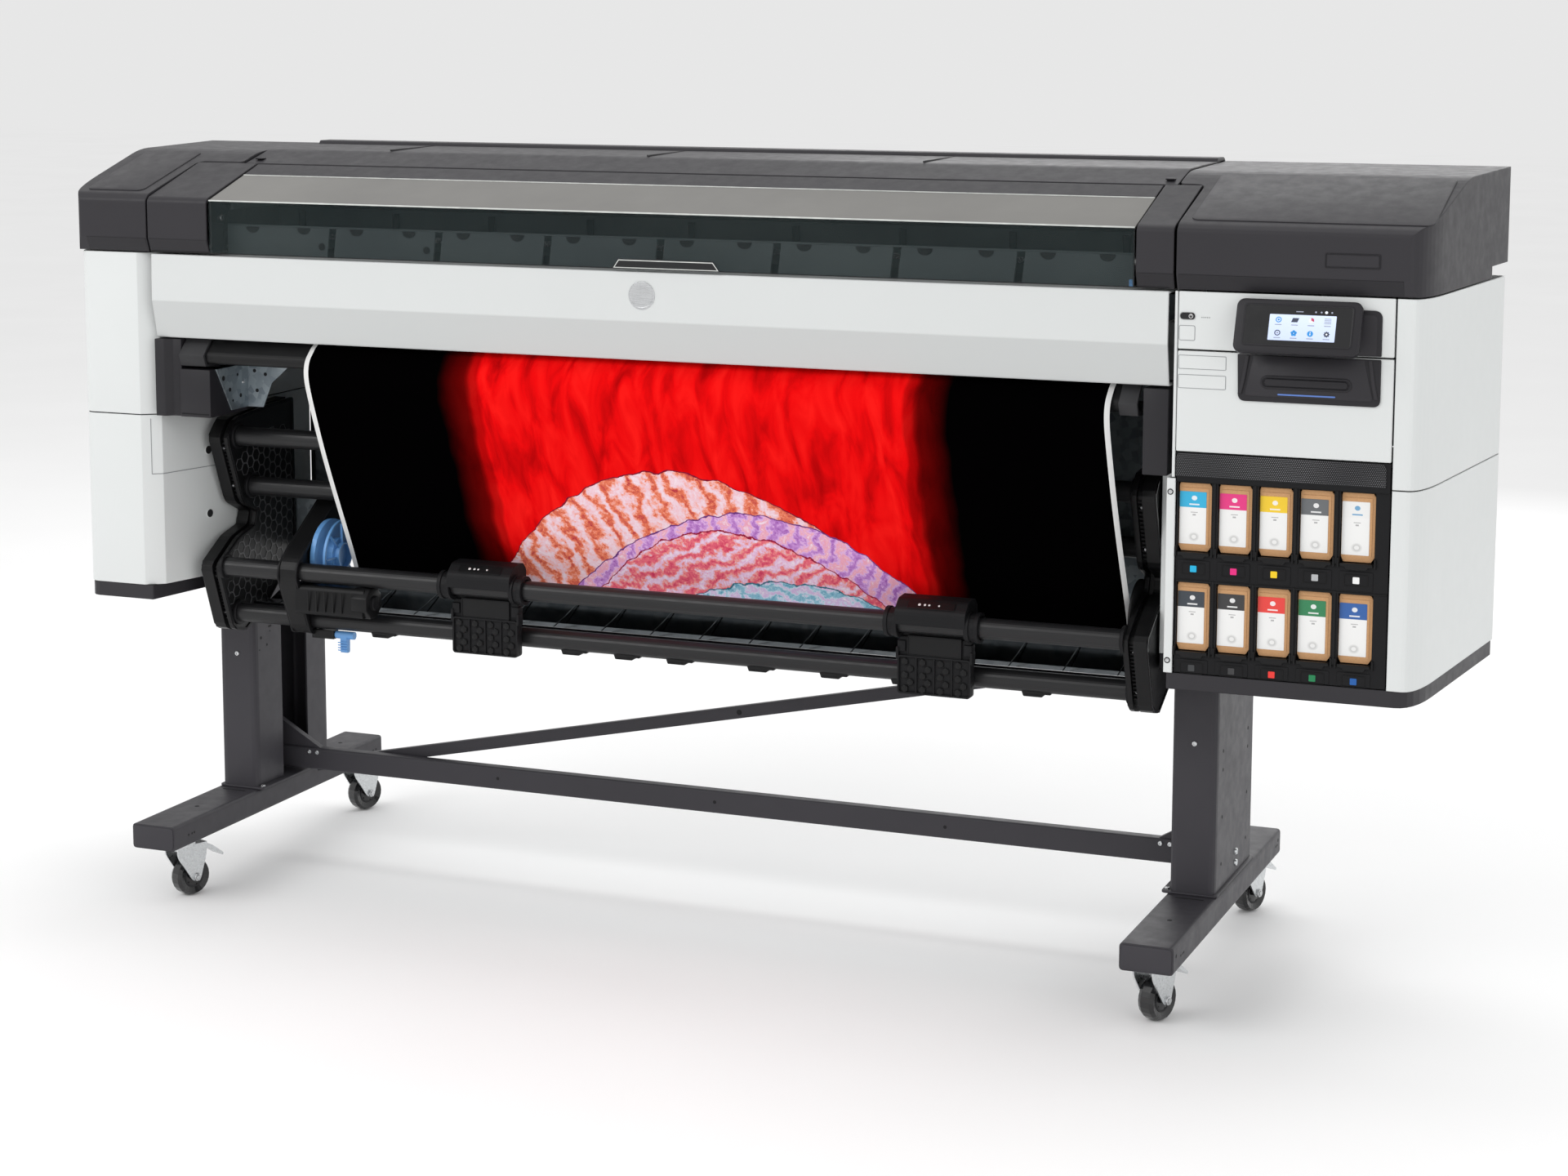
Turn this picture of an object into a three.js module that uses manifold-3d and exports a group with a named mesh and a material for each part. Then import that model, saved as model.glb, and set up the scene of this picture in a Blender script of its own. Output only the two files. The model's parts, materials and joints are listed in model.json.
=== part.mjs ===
// Wide-format roll printer with a built-in cutter, on a wheeled stand.
// Millimetres. X runs along the machine, -Y is the front where the sheet comes out, +Z is up.
// The parts are laid out about the middle of the four casters, on the floor. The last lines move
// the whole machine so that its origin is the bottom centre of its bounding box.
import * as THREE from 'three';
import { mergeVertices } from 'three/addons/utils/BufferGeometryUtils.js';
import Module from 'manifold-3d';

const wasm = await Module();
wasm.setup();

// ---- Driving dimensions ------------------------------------------------------------------
const WALL = 4;                  // thickness of the moulded covers
const GAP = 0.4;                 // clearance between pieces that touch
const RUNNING_GAP = 0.5;         // clearance round a rail that something slides on

const FOOT = { x: 980.5, width: 94, front: -453, rear: 354, bottom: 116, top: 164 };
const POST = { inner: 938, outer: 1020, front: -142, rear: 140, top: 594, lipFront: -42, lipRear: 57 };
const BEAM = { front: 0, rear: 26, bottom: 176, top: 221 };
const CASTER = { x: 972, frontY: -343, rearY: 345, trail: 22, heading: 20, radius: 37.5, width: 32 };

const TRAY_BOTTOM = 595;
const COVER_BOTTOM = 623;
const COVER_SPLIT = 952;
const COVER_TOP = 1263;
const CAP_BOTTOM = 1266;
const TOP = 1451;
const HOUSING_FRONT = -402;
const HOUSING_REAR = 96;
const INNER_WALL = 942;          // inner walls of both housings, where the middle of the body starts
const CAP_FRONT = -412;
const CAP_REAR = 128;

const WINDOW = { left: -851, right: 926, bottom: 1268, bend: 1366, rear: -282, rearTop: 1407 };
const DOOR_TOP = 1165;           // top edge of the service door
const PANEL = { left: -983, right: 984, top: 1262, crease: 1174, bottom: 1103 };

const BRACKET = { outer: 938, inner: 897 };
const RAIL = { x: 896.5, radius: 18.5, inner: 16 };
const UPPER_FRONT_TUBE = [-255, 900];
const UPPER_REAR_TUBE = [-210, 796];
const LOADER_RAIL = [-308, 652];
const SUPPORT_RAIL = [-262, 554];

const SHEET = { left: -657, right: 887, thickness: 1.5 };
const BAY = { left: 1003, right: 1355, front: -398, rear: -150, bottom: 624, top: 952, header: 996 };
const POCKET = { left: 1005, pitch: 67.5, width: 57, height: 117, rows: [660.7, 828.7], rear: -172 };
const CARTRIDGE = { width: 55, height: 114, front: -391, rear: -176, side: 1, foot: 1.5 };

// ---- Shape helpers -----------------------------------------------------------------------
// An outline's points are [a, b], [a, b, radius] or [a, b, reach before, reach after]: a radius, or
// how far the rounding reaches along the edge before the corner and along the edge after it.
function tangentPoint(corner, neighbour, radius) {
  const length = Math.hypot(neighbour[0] - corner[0], neighbour[1] - corner[1]);
  const t = Math.min(radius / length, 0.5);
  return [corner[0] + (neighbour[0] - corner[0]) * t, corner[1] + (neighbour[1] - corner[1]) * t];
}

function tracePath(path, points) {
  points.forEach((corner, i) => {
    const before = points[(i + points.length - 1) % points.length];
    const after = points[(i + 1) % points.length];
    const from = corner[2] ? tangentPoint(corner, before, corner[2]) : corner;
    if (i === 0) path.moveTo(from[0], from[1]);
    else path.lineTo(from[0], from[1]);
    if (corner[2]) {
      const to = tangentPoint(corner, after, corner[3] ?? corner[2]);
      path.quadraticCurveTo(corner[0], corner[1], to[0], to[1]);
    }
  });
  path.closePath();
  return path;
}

function counterClockwise(points) {
  const area = points.reduce((sum, [a, b], i) => {
    const [nextA, nextB] = points[(i + 1) % points.length];
    return sum + a * nextB - b * nextA;
  }, 0);
  if (area > 0) return points;
  return points.map(([a, b, before, after]) => [a, b, after ?? before, before]).reverse();
}

function outline(points, holes = []) {
  const shape = tracePath(new THREE.Shape(), counterClockwise(points));
  holes.forEach((hole) => shape.holes.push(tracePath(new THREE.Path(), hole)));
  return shape;
}

function circle(a, b, radius, sides) {
  return Array.from({ length: sides }, (_, i) => {
    const turn = (2 * Math.PI * (i + 0.5)) / sides;
    return [a + radius * Math.cos(turn), b + radius * Math.sin(turn)];
  });
}

function rectangle(a0, a1, b0, b1, radius = 0) {
  return [[a0, b0, radius], [a1, b0, radius], [a1, b1, radius], [a0, b1, radius]];
}

const mirrored = (points) => points.map(([a, b, ...rounding]) => [-a, b, ...rounding]);

// Turns an extrusion's own axes into the machine's: ALONG_X reads an outline as (y, z), ALONG_Y as (x, z).
const X = new THREE.Vector3(1, 0, 0);
const Y = new THREE.Vector3(0, 1, 0);
const Z = new THREE.Vector3(0, 0, 1);
const ALONG_X = new THREE.Matrix4().makeBasis(Y, Z, X);
const ALONG_Y = new THREE.Matrix4().makeBasis(X, Z, Y.clone().negate());

function extrude(shape, depth, curveSegments) {
  return new THREE.ExtrudeGeometry(shape, { depth, bevelEnabled: false, curveSegments });
}

function prismX(shape, x0, x1, segments = 4) {
  return extrude(shape, x1 - x0, segments).applyMatrix4(ALONG_X).translate(x0, 0, 0);
}

function prismY(shape, y0, y1, segments = 4) {
  return extrude(shape, y1 - y0, segments).applyMatrix4(ALONG_Y).translate(0, y1, 0);
}

function prismZ(shape, z0, z1, segments = 4) {
  return extrude(shape, z1 - z0, segments).translate(0, 0, z0);
}

function box(x0, x1, y0, y1, z0, z1) {
  const block = new THREE.BoxGeometry(x1 - x0, y1 - y0, z1 - z0);
  return block.translate((x0 + x1) / 2, (y0 + y1) / 2, (z0 + z1) / 2);
}

function diskX(x0, x1, y, z, radius, segments) {
  const disk = new THREE.CylinderGeometry(radius, radius, x1 - x0, segments);
  return disk.rotateZ(Math.PI / 2).translate((x0 + x1) / 2, y, z);
}

// ---- Boolean helpers ---------------------------------------------------------------------
function solid(geometry) {
  const bare = geometry.clone();
  bare.deleteAttribute('normal');
  bare.deleteAttribute('uv');
  const merged = mergeVertices(bare, 1e-4);
  const vertProperties = new Float32Array(merged.attributes.position.array);
  const triVerts = new Uint32Array(merged.index.array);
  return new wasm.Manifold(new wasm.Mesh({ numProp: 3, vertProperties, triVerts }));
}

function toGeometry(manifold) {
  const { vertProperties, triVerts } = manifold.getMesh();
  const geometry = new THREE.BufferGeometry();
  geometry.setAttribute('position', new THREE.BufferAttribute(new Float32Array(vertProperties), 3));
  geometry.setIndex(new THREE.BufferAttribute(new Uint32Array(triVerts), 1));
  geometry.computeVertexNormals();
  return geometry;
}

const join = (...pieces) => toGeometry(pieces.map(solid).reduce((whole, piece) => whole.add(piece)));
const common = (first, second) => toGeometry(solid(first).intersect(solid(second)));

function cut(base, ...tools) {
  return toGeometry(tools.map(solid).reduce((rest, tool) => rest.subtract(tool), solid(base)));
}

// ---- Materials and placing ---------------------------------------------------------------
const FINISH = {
  white: { color: 0xe2e4e3, roughness: 0.45, metalness: 0 },
  charcoal: { color: 0x45434a, roughness: 0.55, metalness: 0.1 },
  steelPaint: { color: 0x4c4b50, roughness: 0.5, metalness: 0.3 },
  black: { color: 0x17171a, roughness: 0.4, metalness: 0 },
  tube: { color: 0x2b2b2d, roughness: 0.35, metalness: 0.4 },
  zinc: { color: 0xb9bec0, roughness: 0.35, metalness: 0.9 },
  wheel: { color: 0x161618, roughness: 0.3, metalness: 0 },
  galvanised: { color: 0x8f9698, roughness: 0.5, metalness: 0.8 },
  glass: { color: 0x8c9088, roughness: 0.08, metalness: 0, transparent: true, opacity: 0.35 },
  blue: { color: 0x5f9ad2, roughness: 0.45, metalness: 0 },
  media: { color: 0x0b0a0b, roughness: 0.4, metalness: 0 },
  cardboard: { color: 0xc99464, roughness: 0.85, metalness: 0 },
};

const machine = new THREE.Group();

function place(name, geometry, finish) {
  const mesh = new THREE.Mesh(geometry, new THREE.MeshStandardMaterial(FINISH[finish]));
  mesh.name = name;
  machine.add(mesh);
  return mesh;
}

const SIDES = [['left', -1], ['right', 1]];

// ---- Stand -------------------------------------------------------------------------------
function foot(side) {
  const x = side * FOOT.x;
  const half = FOOT.width / 2;
  const { front, rear, bottom, top } = FOOT;
  const body = prismY(outline(rectangle(x - half, x + half, bottom, top, 7)), front, rear, 3);
  const hollow = box(x - half + 3, x + half - 3, front + 4, rear - 4, bottom + 3, top - 3);
  const slot = box(x - 26, x + 26, -220, 220, bottom - 5, bottom + 8);
  return cut(body, hollow, slot);
}

function post(side) {
  const { inner, outer, front, rear, lipFront, lipRear } = POST;
  const sheet = 4;
  const channel = [
    [inner, lipFront], [inner, front, 12], [outer, front, 12], [outer, rear, 12], [inner, rear, 12],
    [inner, lipRear],
    [inner + sheet, lipRear], [inner + sheet, rear - sheet, 8], [outer - sheet, rear - sheet, 8],
    [outer - sheet, front + sheet, 8], [inner + sheet, front + sheet, 8], [inner + sheet, lipFront],
  ];
  return prismZ(outline(side > 0 ? channel : mirrored(channel)), FOOT.top + GAP, POST.top, 3);
}

function crossBeam() {
  const end = POST.outer - 4 - GAP;
  const bar = prismX(outline(rectangle(BEAM.front, BEAM.rear, BEAM.bottom, BEAM.top, 5)), -end, end, 3);
  const gusset = [[end, BEAM.top - 8], [end, 292], [end - 14, 292], [880, BEAM.top], [880, BEAM.top - 8]];
  return join(
    bar,
    prismY(outline(gusset), BEAM.front + 6, BEAM.rear - 6),
    prismY(outline(mirrored(gusset)), BEAM.front + 6, BEAM.rear - 6),
  );
}

function diagonalBrace() {
  const bar = [[-900, 166], [1010, 564], [1010, 588], [-900, 190]];
  return prismY(outline(bar), BEAM.rear + 2, BEAM.rear + 16);
}

// A caster is built about its swivel axis, with the wheel trailing towards +Y.
function casterFork() {
  const { trail, radius, width } = CASTER;
  const leg = outline([
    [-22, 98], [trail + 26, 98, 6], [trail + 24, 78, 8], [trail + 9, 30, 8], [trail - 9, 30, 8],
    [-22, 84, 10],
  ]);
  const legGap = width / 2 + 2.5;
  const pedal = [
    [trail + 14, 102], [trail + 24, 102], [trail + 44, 92, 4], [trail + 72, 70, 6], [trail + 69, 66, 3],
    [trail + 42, 84, 4], [trail + 18, 90],
  ];
  return join(
    new THREE.CylinderGeometry(30, 30, 8, 20).rotateX(Math.PI / 2).translate(0, 0, 107),
    prismX(outline([[-22, 96], [trail + 26, 96], [trail + 26, 104], [-22, 104]]), -legGap - 3, legGap + 3),
    prismX(leg, legGap, legGap + 3, 2),
    prismX(leg, -legGap - 3, -legGap, 2),
    diskX(-legGap - 7, legGap + 7, trail, radius, 5.5, 10),
    prismX(outline(pedal), -15, 15, 2),
  );
}

// The wheel turns about the local X axis; its profile runs from the bore to the tread and back.
function casterWheel() {
  const { radius, width } = CASTER;
  const half = width / 2;
  const profile = [
    [6, -half + 2], [22, -half + 4], [radius - 4, -half], [radius, -9], [radius, 9], [radius - 4, half],
    [22, half - 4], [6, half - 2], [6, -half + 2],
  ].map(([r, h]) => new THREE.Vector2(r, h));
  return new THREE.LatheGeometry(profile, 24).rotateZ(-Math.PI / 2);
}

function addCasters() {
  const heading = THREE.MathUtils.degToRad(CASTER.heading);
  for (const [end, wheelY] of [['front', CASTER.frontY], ['rear', CASTER.rearY]]) {
    for (const [name, side] of SIDES) {
      const swivelX = side * CASTER.x - CASTER.trail * Math.sin(heading);
      const swivelY = wheelY - CASTER.trail * Math.cos(heading);
      const fork = place(`caster_fork_${end}_${name}`, casterFork(), 'zinc');
      fork.position.set(swivelX, swivelY, 0);
      fork.rotation.z = -heading;
      const wheel = place(`caster_wheel_${end}_${name}`, casterWheel(), 'wheel');
      wheel.position.set(side * CASTER.x, wheelY, CASTER.radius);
      wheel.rotation.z = -heading;
    }
  }
}

// A mounting pad under each end of the foot carries the caster's swivel bearing.
function footWithPads(side) {
  const heading = THREE.MathUtils.degToRad(CASTER.heading);
  const x = side * CASTER.x - CASTER.trail * Math.sin(heading);
  const pads = [CASTER.frontY, CASTER.rearY].map((wheelY) => {
    const y = wheelY - CASTER.trail * Math.cos(heading);
    return box(x - 32, x + 32, y - 34, y + 34, 112, FOOT.bottom + 2);
  });
  return join(foot(side), ...pads);
}

// ---- Housings ----------------------------------------------------------------------------
// Plan outline of each housing's outer side, from the front corner back, moved in by inset.
function rightFlank(inset, front, rear, rearRadius) {
  return [
    [1406 - inset, front + inset, 36 - inset, 104 - inset],
    [1455 - inset, rear - inset, rearRadius],
  ];
}

function leftFlank(inset, front, rear, rearRadius) {
  return [
    [-1160 + inset, front + inset, 36 - inset, 104 - inset],
    [-1168 + inset, rear - inset, rearRadius],
  ];
}

function leftHousingRing(inset) {
  return [
    [-1000 - inset, HOUSING_FRONT + inset, 3], ...leftFlank(inset, HOUSING_FRONT, HOUSING_REAR, 20),
    [-INNER_WALL - inset, HOUSING_REAR - inset], [-INNER_WALL - inset, -258 + inset],
    [-976 - inset, -258 + inset],
  ];
}

const leftCover = (z0, z1) => prismZ(outline(leftHousingRing(0), [leftHousingRing(WALL)]), z0, z1, 8);

// The right covers are open at the front, where the ink bay and the control panel sit.
function rightCover(z0, z1, stripLeft, stripRight) {
  const [frontCorner, rearCorner] = rightFlank(0, HOUSING_FRONT, HOUSING_REAR, 20);
  const [innerFront, innerRear] = rightFlank(WALL, HOUSING_FRONT, HOUSING_REAR, 16);
  const [frontX, frontY, ahead, behind] = frontCorner;
  const points = [
    [stripRight, HOUSING_FRONT + WALL], [stripRight, HOUSING_FRONT], [stripLeft, HOUSING_FRONT, 3],
    [stripLeft, -258],
    [INNER_WALL, -258], [INNER_WALL, HOUSING_REAR], rearCorner, [frontX, frontY, behind, ahead],
    [1358, HOUSING_FRONT], [1358, HOUSING_FRONT + WALL], innerFront, innerRear,
    [INNER_WALL + WALL, HOUSING_REAR - WALL], [INNER_WALL + WALL, -258 + WALL],
    [stripLeft + WALL, -258 + WALL],
    [stripLeft + WALL, HOUSING_FRONT + WALL],
  ];
  return prismZ(outline(points), z0, z1, 8);
}

function rightUpperCover() {
  const carriagePath = box(930, 1010, -350, -180, 1195, COVER_TOP + 5);
  return cut(rightCover(COVER_SPLIT + 2, COVER_TOP, 994, 999.5), carriagePath);
}

function baseTray(ring, pocket) {
  const block = prismZ(outline(ring), TRAY_BOTTOM, COVER_BOTTOM - GAP, 6);
  return cut(block, prismZ(outline(pocket), TRAY_BOTTOM + 3, COVER_BOTTOM + 5, 6));
}

function rightTrayRing(inset) {
  return [
    [INNER_WALL + inset, -256 + inset], [990 + inset, -256 + inset],
    [990 + inset, HOUSING_FRONT + 2 + inset, 6],
    ...rightFlank(inset + 3, HOUSING_FRONT, HOUSING_REAR, 18),
    [INNER_WALL + inset, HOUSING_REAR - 3 - inset],
  ];
}

// ---- Top covers --------------------------------------------------------------------------
// Side profile (y, z) shared by both end covers, moved in by inset.
function capProfile(inset) {
  const bottom = inset ? CAP_BOTTOM - 10 : CAP_BOTTOM;
  return [
    [-402 + inset, bottom], [CAP_FRONT + inset, 1292, inset ? 0 : 2],
    [CAP_FRONT + inset, 1364 - inset / 2, 5],
    [-400 + inset, 1375 - inset, 5], [-160, 1446 - inset, 30], [118 - inset, TOP - inset, 8],
    [CAP_REAR - inset, TOP - 10 - inset, 8], [CAP_REAR - inset, bottom],
  ];
}

function capShell(planOuter, planInner) {
  const outer = prismX(outline(capProfile(0)), -1300, 1500, 4);
  const inner = prismX(outline(capProfile(WALL)), -1300, 1500, 3);
  const skin = common(prismZ(outline(planOuter), CAP_BOTTOM, TOP + 10, 10), outer);
  return cut(skin, common(prismZ(outline(planInner), CAP_BOTTOM - 15, TOP + 10, 5), inner));
}

function leftCapPlan(inset) {
  return [
    [-988 - inset, CAP_FRONT - 20 + inset * 6], ...leftFlank(inset, CAP_FRONT, CAP_REAR, 26),
    [-890 - inset, CAP_REAR - inset], [-890 - inset, -221 + inset, 10],
    [-988 - inset, -221 + inset, 20],
  ];
}

function rightCapPlan(inset) {
  return [
    [998 + inset, CAP_FRONT - 20 + inset * 6], ...rightFlank(inset, CAP_FRONT, CAP_REAR, 26),
    [953 + inset, CAP_REAR - inset], [953 + inset, -221 + inset, 10], [998 + inset, -221 + inset, 20],
  ];
}

function rightTopCover() {
  const carriagePath = box(940, 1010, -352, -176, CAP_BOTTOM - 5, 1346);
  const rearRelief = box(1390, 1500, 0, CAP_REAR + 20, CAP_BOTTOM - 5, 1286);
  return cut(capShell(rightCapPlan(0), rightCapPlan(WALL)), carriagePath, rearRelief);
}

// Cover over each end of the window, beside the lid; open below and at its sides.
function hingeCover(x0, x1) {
  const profile = [
    [-402, CAP_BOTTOM], [CAP_FRONT, 1292, 2], [CAP_FRONT, 1363, 4], [-405, 1370, 4], [-229, 1426],
    [-229, 1421], [-401, 1366, 4], [CAP_FRONT + WALL, 1360], [CAP_FRONT + WALL, 1293],
    [-398, CAP_BOTTOM],
  ];
  return prismX(outline(profile), x0, x1, 4);
}

function rearCover() {
  const top = [
    [-219, 1426], [-130, 1449, 12], [58, 1452], [62, 1458, 3], [110, 1458, 8], [CAP_REAR, 1444, 8],
    [CAP_REAR, 1260],
    [CAP_REAR - WALL, 1260], [CAP_REAR - WALL, 1443, 6], [109, 1453, 6], [58, 1448],
    [-130, 1445, 12], [-219, 1421.5],
  ];
  const wall = [
    [CAP_REAR, 700], [CAP_REAR, 1262], [CAP_REAR - WALL, 1262], [CAP_REAR - WALL, 704], [114, 704],
    [114, 700],
  ];
  return join(prismX(outline(top), -885, 948, 4), prismX(outline(wall), -INNER_WALL + 3, INNER_WALL - 3));
}

// ---- Front of the body -------------------------------------------------------------------
function frontPanel() {
  const profile = [
    [-404, PANEL.top, 3], [-406, PANEL.crease], [-390, PANEL.bottom, 3], [-368, PANEL.bottom],
    [-368, PANEL.bottom + WALL],
    [-387, PANEL.bottom + WALL], [-402, PANEL.crease], [-400, PANEL.top - WALL],
    [-350, PANEL.top - WALL], [-350, PANEL.top],
  ];
  return prismX(outline(profile), PANEL.left, PANEL.right);
}

const BUTTON = { x: 1016, z: 1222.5, width: 24, height: 10 };

function pill(grow) {
  const halfWidth = BUTTON.width / 2 + grow;
  const halfHeight = BUTTON.height / 2 + grow;
  const { x, z } = BUTTON;
  return rectangle(x - halfWidth, x + halfWidth, z - halfHeight, z + halfHeight, halfHeight);
}

function controlPanel() {
  return prismY(outline(rectangle(1001, 1355, DOOR_TOP + 3, COVER_TOP, 2), [pill(GAP)]), -402, -396, 5);
}

const powerButton = () => prismY(outline(pill(0)), -404, -390, 5);
const serviceDoor = () => prismY(outline(rectangle(1001, 1355, 998, DOOR_TOP, 2)), -402, -396, 3);

// The touch screen leans out from its top edge, where it turns on a barrel close to the panel.
function screenUnit() {
  const slab = [[-421, 1258, 5], [-455, 1174, 5], [-440, 1166, 4], [-406, 1250, 4]];
  const hingeBarrel = diskX(1150, 1260, -407.5, 1248, 5, 16);
  return join(prismX(outline(slab), 1103, 1307, 4), hingeBarrel);
}

// ---- Window and inside -------------------------------------------------------------------
function windowGlass() {
  const profile = [
    [-409, WINDOW.bottom], [-409, WINDOW.bend, 3], [WINDOW.rear, WINDOW.rearTop],
    [WINDOW.rear + 1, WINDOW.rearTop - 3],
    [-406, WINDOW.bend - 2, 3], [-406, WINDOW.bottom],
  ];
  return prismX(outline(profile), WINDOW.left, WINDOW.right, 5);
}

function windowFrame() {
  const profile = [[-281, 1408, 1], [-229, 1425, 2], [-226, 1417, 3], [-236, 1410, 2], [-278.5, 1400]];
  return prismX(outline(profile), WINDOW.left, WINDOW.right, 3);
}

// One folded steel section: lower box beam, back wall, ledge and carriage rail.
function chassis() {
  const section = [
    [-40, 760], [-40, 650], [112, 650], [112, 1198], [-175, 1198], [-175, 1235], [-180, 1235],
    [-180, 1193],
    [107, 1193], [107, 655], [-35, 655], [-35, 760],
  ];
  return prismX(outline(section), -INNER_WALL + 4, INNER_WALL - 4);
}

// Print zone on top, then the sheet drops over the rounded output nose.
function outputPlaten() {
  const section = [
    [-190, 1196], [-330, 1196, 6], [-344, 1182, 8], [-352, 1112, 14], [-374, 1088, 10],
    [-392, 1071, 9], [-385, 1055, 6],
    [-340, 1050, 5], [-190, 1046], [-190, 1050], [-340, 1054], [-382, 1059, 4], [-387, 1070, 5],
    [-371, 1084, 8],
    [-348, 1110, 12], [-340, 1180, 6], [-328, 1192, 4], [-190, 1192],
  ];
  return prismX(outline(section), -930, 930, 3);
}

function printCarriage() {
  const shell = [
    [1030, 1205], [1190, 1205], [1190, 1318, 8], [1170, 1330, 6], [1050, 1330, 6], [1030, 1318, 8],
  ];
  const nozzleFace = box(1050, 1170, -320, -215, 1202, 1210);
  return join(prismY(outline(shell), -335, -186, 3), nozzleFace);
}

function cutterCarriage() {
  const shell = [
    [-935, 1206], [-885, 1206], [-885, 1248, 6], [-895, 1256, 4], [-925, 1256, 4], [-935, 1248, 6],
  ];
  const bladeHolder = diskX(-886, -878, -300, 1222, 13, 18);
  return join(prismY(outline(shell), -330, -264, 3), bladeHolder);
}

// ---- Roll holder -------------------------------------------------------------------------
// Side bracket outline (y, z): an upper nose and a lower nose, each carrying two tubes.
const BRACKET_OUTLINE = [
  [-45, 950], [-140, 946], [-264, 934, 16], [-293, 900, 12], [-240, 766, 12], [-190, 742, 6],
  [-200, 716, 6],
  [-258, 702, 12], [-332, 656, 14], [-283, 522, 14], [-238, 512, 8], [-150, 556], [-45, 644],
];

const CORE_OUTLINE = [
  [-50, 944], [-140, 938], [-258, 926, 12], [-283, 898, 10], [-232, 772, 10], [-184, 748, 4],
  [-192, 710, 4],
  [-252, 694, 10], [-320, 652, 12], [-276, 530, 12], [-240, 520, 6], [-152, 564], [-50, 648],
];

function rollBracket(side) {
  const plate = (shape, from, to) => {
    const ends = [side * from, side * to].sort((a, b) => a - b);
    return prismX(outline(shape), ends[0], ends[1], 2);
  };
  return join(
    plate(BRACKET_OUTLINE, BRACKET.outer - 24, BRACKET.outer),
    plate(CORE_OUTLINE, BRACKET.inner + 4, BRACKET.outer - 4),
    plate(BRACKET_OUTLINE, BRACKET.inner, BRACKET.inner + 8),
  );
}

function tube([y, z]) {
  return prismX(outline(circle(y, z, RAIL.radius, 28), [circle(y, z, RAIL.inner, 28)]), -RAIL.x, RAIL.x);
}

function mediaTray() {
  const section = [
    [-214, 552], [-214, 566], [-211, 566], [-210, 556], [-150, 560], [-58, 592], [-57, 588],
    [-150, 556.5],
    [-210, 552],
  ];
  return prismX(outline(section), -893, 893);
}

// Media curve: over the print zone, down behind the front panel, over the nose and down to the tray.
const MEDIA_CURVE = [
  [-200, 1199], [-331, 1199], [-349, 1184], [-357, 1112], [-378, 1091], [-398, 1070], [-402, 1040],
  [-386, 990],
  [-351, 905], [-316, 830], [-281, 760], [-247, 692], [-226, 645], [-218, 622],
];

function mediaSheet() {
  const half = SHEET.thickness / 2;
  const side = (sign) => MEDIA_CURVE.map(([y, z], i) => {
    const [ay, az] = MEDIA_CURVE[Math.max(i - 1, 0)];
    const [by, bz] = MEDIA_CURVE[Math.min(i + 1, MEDIA_CURVE.length - 1)];
    const length = Math.hypot(by - ay, bz - az);
    const offset = (sign * half) / length;
    return [y - offset * (bz - az), z + offset * (by - ay), i % 13 ? 6 : 0];
  });
  return prismX(outline([...side(1), ...side(-1).reverse()]), SHEET.left, SHEET.right, 2);
}

// The arm slides on both lower rails and holds the roll's end; its lock box lies between the rails.
function slidingArm() {
  const strap = [
    [-334, 636, 16], [-332, 668, 18], [-302, 694, 16], [-150, 792, 14], [-108, 786, 12],
    [-104, 748, 10],
    [-228, 640, 24], [-226, 548, 20], [-246, 522, 18], [-286, 528, 20],
  ];
  const bore = RAIL.radius + RUNNING_GAP;
  const railHoles = [LOADER_RAIL, SUPPORT_RAIL].map(([y, z]) => circle(y, z, bore, 20));
  const lockBox = [[-334, 576, 8], [-276, 576, 6], [-276, 631, 6], [-326, 631, 8]];
  return join(
    prismX(outline(strap, railHoles), -762, -726, 4),
    prismX(outline(lockBox), -728, -582, 3),
    box(-728, -680.5, -272, -254, 518, 534),
  );
}

const ROLL_AXIS = [-215, 672];

function rollHub() {
  const [y, z] = ROLL_AXIS;
  return join(
    diskX(-722, -712, y, z, 70, 32),
    diskX(-714, -694, y, z, 34, 20),
    diskX(-725.4, -720, y, z, 22, 16),
  );
}

function lockLever() {
  const handle = [[-268, 492, 4], [-256, 492, 4], [-255, 527], [-269, 527]];
  return join(diskX(-680, -640, -262, 526, 7.5, 20), prismX(outline(handle), -668, -654, 3));
}

// A loading aid straddles the upper of the two lower rails; its flap hangs in front of the other.
function loadingAid(centre) {
  const saddle = [
    [-336, 652, 3], [-334, 678, 8], [-312, 696, 6], [-276, 698, 6], [-263, 684, 5], [-263, 640, 5],
    [-276, 620, 4], [-298, 620, 4], [-298, 631], [-288, 640], [-308, 652],
  ];
  const [railY, railZ] = LOADER_RAIL;
  const flap = [[-302, 626, 3], [-289, 626, 3], [-289.5, 528, 3], [-303, 528, 3]];
  const rod = (radius, from, to) => {
    return prismX(outline(circle(railY, railZ, radius, 20)), centre + from, centre + to);
  };
  const body = join(
    prismX(outline(saddle), centre - 65, centre + 65, 3),
    rod(25, -84, -64),
    rod(25, 64, 84),
    prismX(outline(flap), centre - 66, centre + 66, 2),
  );
  return cut(body, rod(RAIL.radius + RUNNING_GAP, -100, 100));
}

// ---- Ink bay -----------------------------------------------------------------------------
function inkBay() {
  const pockets = [];
  for (const z of POCKET.rows) {
    for (let column = 0; column < 5; column += 1) {
      const x = POCKET.left + column * POCKET.pitch;
      pockets.push(box(x, x + POCKET.width, BAY.front - 5, POCKET.rear, z, z + POCKET.height));
    }
  }
  const header = box(BAY.left, BAY.right, -402, -396.4, BAY.top - 4, BAY.header);
  return join(cut(box(BAY.left, BAY.right, BAY.front, BAY.rear, BAY.bottom, BAY.top), ...pockets), header);
}

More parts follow.
